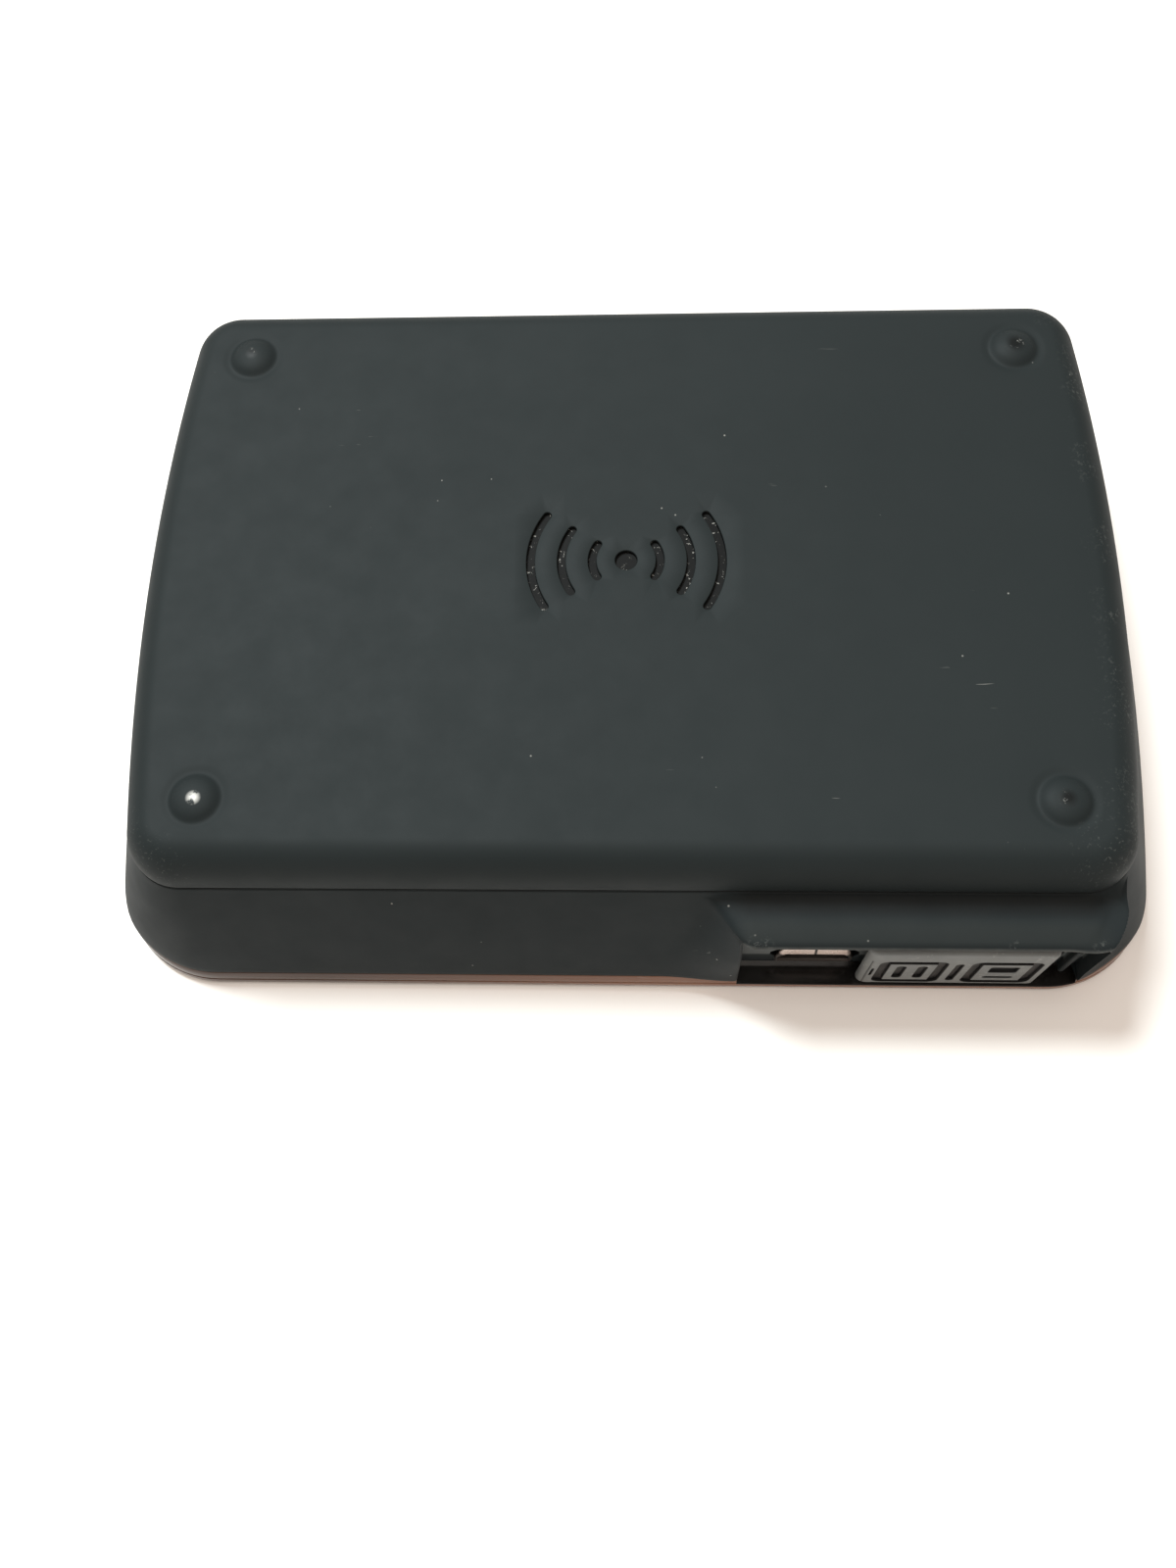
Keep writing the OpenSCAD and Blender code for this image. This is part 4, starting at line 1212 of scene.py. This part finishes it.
def cover_coat():
    p = Paint("cover_coat", Specular_IOR_Level=0.15)
    base = coat_base(p, rgb(30, 36, 37), rgb(33, 39, 40))
    worn = rgb(104, 106, 103)
    corners = [p.near((x, y, WORN_Z), radius) for x, y, radius in WORN_SPOTS]
    base = p.mix(flecks(p, p.either(*corners), 3000), base, worn, 0.32)
    rim = p.both(p.ramp(0, 43.4, 45.5), p.band(p.noise(240, 3), 0.45, 0.6))
    base = p.mix(flecks(p, rim, 2600, 0.55, 0.64), base, worn, 0.3)
    scuffs = p.either(*[hairs(p, turn, p.near((x, y, COVER_TOP), radius), 2300)
                        for turn, x, y, radius in SCUFFS])
    base = p.mix(scuffs, base, DUST, 0.6)
    # Painted shade: the engraved grooves of the signal sign are painted near black.
    sign = p.both(p.near((0, 0, COVER_TOP), 14, 0.85),
                  p.ramp(2, COVER_TOP + 0.04, COVER_TOP - 0.06))
    base = p.mix(sign, base, rgb(7, 8, 8))
    grit = p.both(sign, p.band(p.noise(2600, 3, 0.7), 0.63, 0.68))
    base = p.mix(grit, base, DUST, 0.75)
    seam = p.ramp(2, SEAM_Z + SEAM_GAP + 0.08, SEAM_Z + SEAM_GAP + 0.02)
    base = p.mix(seam, base, rgb(10, 11, 11))
    tip_z = COVER_TOP + FOOT_H
    # The near-left foot's tip is worn, and a painted highlight in near white sits on it.
    worn_tip_glint = p.near((-FOOT_X + 0.1, -FOOT_Y - 0.2, tip_z), 0.75, 0.3)
    base = p.mix(p.both(worn_tip_glint, p.band(p.noise(1400, 3), 0.36, 0.46)), base, rgb(205, 205, 200))
    rubbed = p.either(p.near((FOOT_X, -FOOT_Y, tip_z), 1.0), p.near((FOOT_X, FOOT_Y, tip_z), 1.2),
                      p.near((-FOOT_X, FOOT_Y, tip_z), 0.8))
    base = p.mix(rubbed, base, rgb(15, 16, 16), 0.7)
    base = p.mix(p.both(rubbed, p.band(p.noise(2100, 3, 0.7), 0.62, 0.66)), base, worn)
    rough = p.band(p.noise(260, 4, 0.6), 0.3, 0.7, 0.6, 0.66)
    rough = p.math("SUBTRACT", rough, p.math("MULTIPLY", p.either(rubbed, worn_tip_glint), 0.28))
    return p.use(Base_Color=base, Roughness=rough, Normal=coat_normal(p))


CREASE_Y = -33.1


def housing_coat():
    p = Paint("housing_coat", Specular_IOR_Level=0.18)
    base = coat_base(p, rgb(22, 29, 31), rgb(25, 32, 34))
    worn = rgb(100, 103, 101)
    low_lip = p.both(p.near((MICRO_X, RECESS_Y, MICRO_Z - 0.5), 2.6, 0.8),
                     p.ramp(2, MICRO_Z - 0.1, MICRO_Z - 0.3))
    base = p.mix(flecks(p, low_lip, 1900, 0.5, 0.56), base, DUST)
    spots = p.either(p.near((12.4, -36.8, 14.2), 1.5), p.near((43.2, -36.7, 14), 1.2),
                     p.near((35.5, -36.6, 14.2), 0.8))
    base = p.mix(flecks(p, spots, 2400, 0.56, 0.6), base, worn, 0.5)
    # Painted light: the back wall of the port recess, in the hood's shade, is painted a lighter
    # grey.
    back = p.both(p.ramp(1, RECESS_Y - 0.3, RECESS_Y - 0.1),
                  p.ramp(1, RECESS_Y + 0.05, RECESS_Y + 0.03),
                  p.between(0, PORT_X0 + 0.1, PORT_X1 - 0.1, 0.1), p.between(2, 5.2, 13, 0.3))
    base = p.mix(back, base, rgb(84, 89, 89))
    seam = p.ramp(2, SEAM_Z - 0.1, SEAM_Z - 0.02)
    base = p.mix(seam, base, rgb(9, 10, 10))
    over_port = p.both(p.between(0, PORT_X0 + 0.5, CORNER_X + 1, 2),
                       p.ramp(1, -30, -32))
    # Painted shade: darker in the crease under the seam and along the hood's lower edge.
    crease_shade = p.both(over_port, p.between(1, CREASE_Y - 0.3, CREASE_Y + 1, 0.9),
                    p.ramp(2, HOOD_TOP - 0.6, HOOD_TOP - 0.2))
    hood_edge_shade = p.both(over_port, p.between(2, PORT_Z1, NOSE_Z + 0.1, 0.35))
    base = p.mix(p.either(crease_shade, hood_edge_shade), base, rgb(9, 11, 11), 0.6)
    crown_lit = p.both(over_port, p.between(1, -36.0, -34.8, 1.0),
                       p.ramp(2, NOSE_Z + 0.1, NOSE_Z + 0.4))
    base = p.mix(crown_lit, base, rgb(40, 44, 43), 0.5)
    lip = p.both(p.between(2, PORT_Z1 - 0.05, NOSE_Z + 0.1, 0.15),
                 p.between(0, PORT_X0, PORT_X1, 0.5), p.ramp(1, -36.2, -36.6))
    base = p.mix(p.both(lip, p.band(p.noise(420, 3), 0.3, 0.7, 0.3, 0.6)), base, worn)
    # Painted shade: the pockets sunk into the recess's back wall are painted near black.
    deep = p.both(p.ramp(1, RECESS_Y + 0.04, RECESS_Y + 0.12),
                  p.ramp(1, RECESS_Y + 1.6, RECESS_Y + 1.4),
                  p.between(0, PORT_X0, PORT_X1, 0.1), p.ramp(2, 13, 12.6))
    base = p.mix(deep, base, rgb(8, 8, 9))
    rough = p.band(p.noise(260, 4, 0.6), 0.3, 0.7, 0.6, 0.67)
    return p.use(Base_Color=base, Roughness=rough, Normal=coat_normal(p))


def moulded(name, dark, light, rough=0.5, grain=3000, depth=0.25, **sockets):
    """Moulded plastic with a fine texture and faint flow marks."""
    p = Paint(name, **sockets)
    flow = p.noise(1.0, 4, 0.6, vector=p.stretch((60, 220, 220), (0.3, 0.1, 0.5)))
    base = p.mix(p.band(flow, 0.3, 0.7), dark, light)
    rub = p.band(p.noise(700, 4, 0.7), 0.58, 0.72)
    base = p.mix(rub, base, DUST, 0.14)
    roughness = p.band(p.noise(300, 3), 0.3, 0.7, rough - 0.06, rough + 0.08)
    return p.use(Base_Color=base, Roughness=roughness,
                 Normal=p.bump(p.noise(grain, 2), depth, 0.02))


def polished(name, dark, light, reflection_tint=None):
    """Gloss black plastic with fine handling scratches and smears. The optional last colour is a
    painted reflection: a warm tint along the near side, more so towards the right."""
    p = Paint(name, Specular_IOR_Level=0.5)
    smear = p.noise(120, 4, 0.6, distort=0.8)
    base = p.mix(p.band(smear, 0.3, 0.7), dark, light)
    if reflection_tint:
        # Painted reflection: a warm band along the near side of the frame, left out on the port
        # recess's ledge.
        reflection_band = p.both(p.ramp(1, -31, -36),
                      p.ramp(0, -30, 5, 0.25, 1.0),
                      p.ramp(2, 0.05, 0.5))
        ledge = p.both(p.between(0, PORT_X0, PORT_X1, 0.05), p.ramp(2, 1.15, 1.25))
        base = p.mix(p.math("SUBTRACT", reflection_band, ledge), base, reflection_tint)
    scratch = p.either(hairs(p, 0.4, p.band(p.noise(90), 0.6, 0.66), 3200),
                       hairs(p, 1.7, p.band(p.noise(80), 0.4, 0.34), 3200))
    base = p.mix(scratch, base, DUST, 0.25)
    rough = p.math("ADD", p.band(smear, 0.3, 0.8, 0.12, 0.28), p.math("MULTIPLY", scratch, 0.2))
    return p.use(Base_Color=base, Roughness=rough,
                 Normal=p.bump(p.noise(220, 3), 0.04, 0.05))


def door_plastic():
    p = Paint("door_plastic", Specular_IOR_Level=0.16)
    base = p.mix(p.band(p.noise(140, 4, 0.6), 0.3, 0.7), rgb(104, 107, 107), rgb(118, 121, 120))
    rub = flecks(p, p.band(p.noise(260, 3), 0.5, 0.62), 1900, 0.56, 0.66)
    base = p.mix(rub, base, rgb(190, 190, 185), 0.3)
    # The sunk strokes of the signs are painted near black: partly painted shade in the grooves,
    # partly their black print.
    sunk = p.both(p.ramp(1, DOOR_LOW.y + 0.01, DOOR_LOW.y + 0.05),
                  p.between(0, DOOR_X - 8.15, DOOR_X + 8.1, 0.05),
                  p.between(2, DOOR_Z + SIGN_Z - 4.1, DOOR_Z + SIGN_Z + 4.1, 0.05))
    base = p.mix(sunk, base, rgb(6, 6, 7))
    rough = p.band(p.noise(300, 3), 0.3, 0.7, 0.42, 0.56)
    return p.use(Base_Color=base, Roughness=rough, Normal=p.bump(p.noise(2600, 2), 0.3, 0.02))


def plated(name, colour, tarnish, rough=0.3, seam_x=None, metallic=1.0):
    """Plated or stamped metal with fine drawn lines, tarnish and small dents."""
    p = Paint(name, Metallic=metallic)
    cloud = p.band(p.noise(420, 4, 0.65), 0.42, 0.72)
    base = p.mix(cloud, colour, tarnish)
    if seam_x is not None:
        seam = p.both(p.between(0, seam_x - 0.1, seam_x + 0.1, 0.05),
                      p.ramp(2, MICRO_Z + MICRO_H - 0.4, MICRO_Z + MICRO_H - 0.2))
        base = p.mix(seam, base, rgb(20, 16, 15))
        # Below its upper lip the shell is darker.
        dark_below_lip = p.both(p.between(0, seam_x - 4.5, seam_x + 4.5, 0.1),
                          p.ramp(2, MICRO_Z + MICRO_H - 0.2, MICRO_Z + MICRO_H - 0.5))
        base = p.mix(dark_below_lip, base, rgb(52, 46, 43))
    lines = p.noise(1.0, 2, 0.5, vector=p.stretch((300, 6000, 6000)))
    roughness = p.band(p.math("ADD", lines, cloud), 0.4, 1.6, rough - 0.08, rough + 0.2)
    normal = p.bump(lines, 0.08, 0.01)
    return p.use(Base_Color=base, Roughness=roughness,
                 Normal=p.bump(p.noise(500, 2), 0.12, 0.04, below=normal))


def circuit_board(name):
    """Solder mask over copper: lighter blocks with darker lines between, and plated holes."""
    p = Paint(name, Roughness=0.35)
    dark, light = rgb(14, 62, 36), rgb(30, 92, 54)
    across = p.node("ShaderNodeTexBrick", {
        "Vector": p.stretch((1, 1, 1)), "Scale": 320.0, "Mortar Size": 0.05, "Color1": (1, 1, 1, 1),
        "Color2": (0.6, 0.6, 0.6, 1), "Mortar": (0, 0, 0, 1)}).outputs["Color"]
    base = p.mix(across, dark, light)
    base = p.mix(p.band(p.noise(60, 3), 0.35, 0.65, 0, 0.35), base, dark)
    via = p.dots(560, 0.14)
    base = p.mix(p.both(via, p.band(p.noise(130), 0.5, 0.56)), base, rgb(196, 170, 110))
    return p.use(Base_Color=base, Normal=p.bump(across, 0.15, 0.03))


def film(name, dark, light, rough=0.3):
    """Thin flexible film with conductors that run along it."""
    p = Paint(name, Roughness=rough)
    lines = p.node("ShaderNodeTexWave", {"Vector": p.place, "Scale": 260.0, "Distortion": 0.3},
                   bands_direction="X").outputs["Fac"]
    base = p.mix(p.band(lines, 0.45, 0.55), dark, light)
    return p.use(Base_Color=base, Normal=p.bump(p.noise(300, 3), 0.2, 0.05))


def soft(name, dark, light, cell=1400, rough=0.85):
    """Foam, tape or pad: open cells and a soft mottled colour."""
    p = Paint(name, Specular_IOR_Level=0.2)
    base = p.mix(p.band(p.noise(400, 4, 0.6), 0.3, 0.7), dark, light)
    pores = p.cells(cell)
    base = p.mix(p.band(pores, 0.25, 0.05, 0, 0.5), base, dark)
    roughness = p.band(p.noise(500), 0.3, 0.7, rough - 0.08, rough + 0.08)
    return p.use(Base_Color=base, Roughness=roughness, Normal=p.bump(pores, 0.4, 0.06))


def paper(name, sheet, line, node=None):
    """A blank label with a thin printed frame and two empty fields."""
    p = Paint(name, Roughness=0.5)
    base = p.mix(p.band(p.noise(900, 4, 0.7), 0.35, 0.7), sheet,
                 tuple(c * 0.9 for c in sheet[:3]) + (1.0,))
    if node:
        low, high = box_mm(node)
        wide = p.both(p.between(0, low.x + 1.4, high.x - 1.4, 0.02),
                      p.between(1, low.y + 1.4, high.y - 1.4, 0.02))
        slim = p.both(p.between(0, low.x + 1.7, high.x - 1.7, 0.02),
                      p.between(1, low.y + 1.7, high.y - 1.7, 0.02))
        base = p.mix(p.math("SUBTRACT", wide, slim), base, line)
        third = (high.y - low.y) / 3
        for y in (low.y + third, low.y + 2 * third):
            bar_mask = p.both(p.between(0, low.x + 4, high.x - 4, 0.02),
                              p.between(1, y - 0.15, y + 0.15, 0.02))
            base = p.mix(bar_mask, base, line)
    return p.use(Base_Color=base, Normal=p.bump(p.noise(1500, 3), 0.1, 0.02))


def blank_card():
    """A blank subscriber card: off-white plastic with a gold pad split into fields."""
    p = Paint("card_plastic")
    low, high = box_mm("sim_card")
    cx, cy = (low.x + high.x) / 2, low.y + 9.2
    base = p.mix(p.band(p.noise(600, 3), 0.35, 0.7), rgb(226, 222, 210), rgb(212, 208, 196))
    pad = p.both(p.between(0, cx - 4.2, cx + 4.2, 0.03), p.between(1, cy - 4.6, cy + 4.6, 0.03),
                 p.ramp(2, high.z - 0.1, high.z - 0.02))
    gaps = [p.between(0, cx - 0.1, cx + 0.1, 0.03)]
    gaps += [p.between(1, cy + k * 2.3 - 0.1, cy + k * 2.3 + 0.1, 0.03) for k in (-1, 0, 1)]
    gold = p.both(pad, p.math("SUBTRACT", 1.0, p.either(*gaps)))
    base = p.mix(gold, base, rgb(212, 172, 92))
    return p.use(Base_Color=base, Metallic=gold,
                 Roughness=p.band(p.noise(800), 0.3, 0.7, 0.3, 0.42),
                 Normal=p.bump(p.math("ADD", gold, p.noise(2000)), 0.1, 0.03))


def lens_glass():
    """Clear over the display and printed black around it, with smears."""
    p = Paint("display_glass", IOR=1.5)
    low, high = box_mm("display_gasket")
    edge = 3.2
    window = p.both(p.between(0, low.x + edge, high.x - edge, 0.02),
                    p.between(1, low.y + edge, high.y - edge, 0.02))
    smear = p.noise(90, 5, 0.6, distort=1.0)
    base = p.mix(window, rgb(12, 12, 13), rgb(205, 214, 220))
    base = p.mix(p.band(smear, 0.5, 0.75, 0, 0.06), base, DUST)
    return p.use(Base_Color=base, Transmission_Weight=p.math("MULTIPLY", window, 0.95),
                 Roughness=p.band(smear, 0.35, 0.75, 0.03, 0.16),
                 Normal=p.bump(p.noise(300, 2), 0.02, 0.02))


def screen():
    """A dark display panel: faint rows and columns of picture cells under a smooth film."""
    p = Paint("screen", Specular_IOR_Level=0.5)
    cells = p.node("ShaderNodeTexChecker", {"Vector": p.place, "Scale": 5200.0}).outputs["Fac"]
    base = p.mix(cells, rgb(16, 21, 28), rgb(24, 31, 42))
    base = p.mix(p.band(p.noise(40, 3), 0.4, 0.7, 0, 0.4), base, rgb(12, 15, 20))
    return p.use(Base_Color=base, Roughness=p.band(p.noise(200), 0.3, 0.7, 0.12, 0.2),
                 Normal=p.bump(cells, 0.05, 0.01))


def clear(name, colour):
    p = Paint(name, Transmission_Weight=0.85, IOR=1.49)
    base = p.mix(p.band(p.noise(800, 3), 0.4, 0.7), colour, rgb(190, 200, 205))
    return p.use(Base_Color=base, Roughness=p.band(p.noise(500), 0.3, 0.7, 0.06, 0.22),
                 Normal=p.bump(p.noise(900, 2), 0.05, 0.03))


def battery_wrap():
    """Satin film over the cells: fine horizontal draw lines and slightly worn rims."""
    p = Paint("battery_wrap", Specular_IOR_Level=0.45)
    base = p.mix(p.band(p.noise(200, 4), 0.3, 0.7), rgb(30, 32, 36), rgb(38, 40, 44))
    rims = p.either(p.ramp(2, PACK_HIGH.z - 0.6, PACK_HIGH.z),
                    p.ramp(2, PACK_LOW.z + 0.6, PACK_LOW.z))
    base = p.mix(flecks(p, rims, 900, 0.6, 0.7), base, DUST, 0.3)
    lines = p.noise(1.0, 2, 0.5, vector=p.stretch((80, 80, 3000)))
    return p.use(Base_Color=base, Roughness=p.band(lines, 0.3, 0.7, 0.34, 0.5),
                 Normal=p.bump(lines, 0.1, 0.02))


# ---- Pieces ----

PALETTE = {
    "cover_coat": cover_coat(),
    "housing_coat": housing_coat(),
    # Its last colour is a painted reflection along the near side.
    "front_gloss": polished("front_gloss", rgb(15, 14, 13), rgb(24, 22, 21), rgb(120, 80, 58)),
    "display_glass": lens_glass(),
    "screen": screen(),
    "door_plastic": door_plastic(),
    "side_key": moulded("side_key", rgb(34, 38, 39), rgb(42, 46, 47), 0.45),
    "key_gloss": polished("key_gloss", rgb(17, 17, 18), rgb(25, 25, 27)),
    "stamped_steel": plated("stamped_steel", rgb(204, 205, 206), rgb(164, 162, 158), 0.34),
    "usb_steel": plated("usb_steel", rgb(214, 198, 190), rgb(178, 158, 148), 0.3, MICRO_X, 0.55),
    "screw_steel": plated("screw_steel", rgb(158, 160, 163), rgb(118, 118, 116), 0.3),
    "contact_gold": plated("contact_gold", rgb(226, 190, 118), rgb(196, 152, 82), 0.24),
    "antenna_foil": plated("antenna_foil", rgb(206, 150, 108), rgb(168, 110, 74), 0.36),
    "flex_film": film("flex_film", rgb(142, 82, 32), rgb(182, 116, 50)),
    "board_green": circuit_board("board_green"),
    "chip_black": moulded("chip_black", rgb(26, 26, 28), rgb(36, 36, 38), 0.6, 4200),
    "black_plastic": moulded("black_plastic", rgb(20, 20, 21), rgb(31, 31, 33), 0.45),
    "grey_carrier": moulded("grey_carrier", rgb(56, 58, 60), rgb(68, 70, 72), 0.5),
    "white_plastic": moulded("white_plastic", rgb(222, 220, 212), rgb(234, 232, 225), 0.4),
    "clear_plastic": clear("clear_plastic", rgb(228, 236, 240)),
    "silicone": soft("silicone", rgb(178, 178, 172), rgb(204, 204, 198), 900, 0.55),
    "black_foam": soft("black_foam", rgb(20, 20, 20), rgb(38, 38, 38)),
    "thermal_gel": soft("thermal_gel", rgb(120, 140, 160), rgb(146, 166, 184), 700, 0.6),
    "tape_black": soft("tape_black", rgb(15, 15, 15), rgb(26, 26, 26), 2600, 0.7),
    "battery_wrap": battery_wrap(),
    "label_film": paper("label_film", rgb(222, 221, 214), rgb(120, 121, 122), "battery_label"),
    "card_plastic": blank_card(),
}
slot_of = {part["node"]: part["material_slot"] for part in frame["record"]["subparts"]}


def dress(obj, body, slot, *nodes):
    obj.data.materials.clear()
    obj.data.materials.append(PALETTE[slot])
    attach(obj, body)
    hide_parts(*nodes)


dress(back_cover(), "cover", "cover_coat", "back_cover")
dress(main_housing(), "housing", "housing_coat", "main_housing")
dress(front_frame(), "housing", "front_gloss", "front_frame")
dress(display_lens(), "housing", "display_glass", "display_lens")
dress(port_door(), "door", "door_plastic", "port_door")
dress(micro_usb_socket(), "housing", "usb_steel", "micro_usb_shell")
dress(usb_a_socket(), "housing", "usb_steel", "usb_a_shell")
dress(side_key(), "side_key", "side_key", "power_key")
dress(battery_body(), "battery", "battery_wrap", "battery_pack")
dress(screw_set(), "housing", "screw_steel", "housing_screws")
for node, body in zip(KEYS, ("left_key", "home_key", "right_key")):
    dress(front_key(node), body, "key_gloss", node)

REPLACED = {"back_cover", "main_housing", "front_frame", "display_lens", "port_door",
            "micro_usb_shell", "usb_a_shell", "power_key", "battery_pack", "housing_screws",
            *KEYS}
for node, obj in frame["nodes"].items():
    if node not in REPLACED:
        for held in obj.material_slots:
            held.material = PALETTE[slot_of[node]]


# ---- Camera, floor and light ----

LENS, SENSOR_W = 31.12, 36.0
CAMERA = Vector((2.608, -68.169, 134.968)) * MM
AZIMUTH = math.radians(7.437)
ELEVATION = math.radians(68.42)
ROLL_ANGLE = math.radians(-6.80)
FLOOR_HALF = 2500


def camera():
    cam = bpy.data.cameras.new("camera")
    cam.lens = LENS
    cam.sensor_width = SENSOR_W
    cam.clip_start = 0.005
    cam.clip_end = 20.0
    obj = bpy.data.objects.new("camera", cam)
    bpy.context.scene.collection.objects.link(obj)
    back = Vector((math.sin(AZIMUTH) * math.cos(ELEVATION),
                   -math.cos(AZIMUTH) * math.cos(ELEVATION), math.sin(ELEVATION)))
    right = Vector((0, 0, 1)).cross(back).normalized()
    up = back.cross(right)
    c, s = math.cos(ROLL_ANGLE), math.sin(ROLL_ANGLE)
    rolled_right, rolled_up = c * right + s * up, c * up - s * right
    turn = Matrix((rolled_right, rolled_up, back)).transposed().to_4x4()
    obj.matrix_world = Matrix.Translation(CAMERA) @ turn
    bpy.context.scene.camera = obj


def floor():
    shape = Shape()
    corners = ((-1, -1), (1, -1), (1, 1), (-1, 1))
    shape.faces.append(tuple(shape.ring([(sx * FLOOR_HALF, sy * FLOOR_HALF, 0)
                                         for sx, sy in corners])))
    obj = shape.make("floor")
    p = Paint("table", Roughness=0.55)
    tone = p.mix(p.noise(3, 3, 0.5), rgb(246, 243, 240), rgb(250, 247, 244))
    obj.data.materials.append(p.use(Base_Color=tone, Normal=p.bump(p.noise(900), 0.05, 0.05)))


def area_light(name, place, target, size, power, colour=(1, 1, 1)):
    light = bpy.data.lights.new(name, "AREA")
    light.shape = "DISK"
    light.size = size
    light.energy = power
    light.color = colour
    obj = bpy.data.objects.new(name, light)
    bpy.context.scene.collection.objects.link(obj)
    obj.location = place
    obj.rotation_euler = (Vector(target) - Vector(place)).to_track_quat("-Z", "Y").to_euler()


def studio():
    world = bpy.data.worlds.new("studio")
    bpy.context.scene.world = world
    world.use_nodes = True
    sky = world.node_tree.nodes["Background"]
    sky.inputs["Color"].default_value = (1.0, 0.86, 0.76, 1)
    sky.inputs["Strength"].default_value = 0.46
    area_light("key", (-0.34, 0.38, 0.9), (0, 0, 0), 0.32, 12, (0.9, 0.98, 1.0))
    area_light("top", (0.0, -0.15, 1.1), (0, 0, 0), 0.7, 4.5, (1.0, 0.92, 0.84))
    bpy.context.scene.view_settings.view_transform = "Standard"


camera()
floor()
studio()
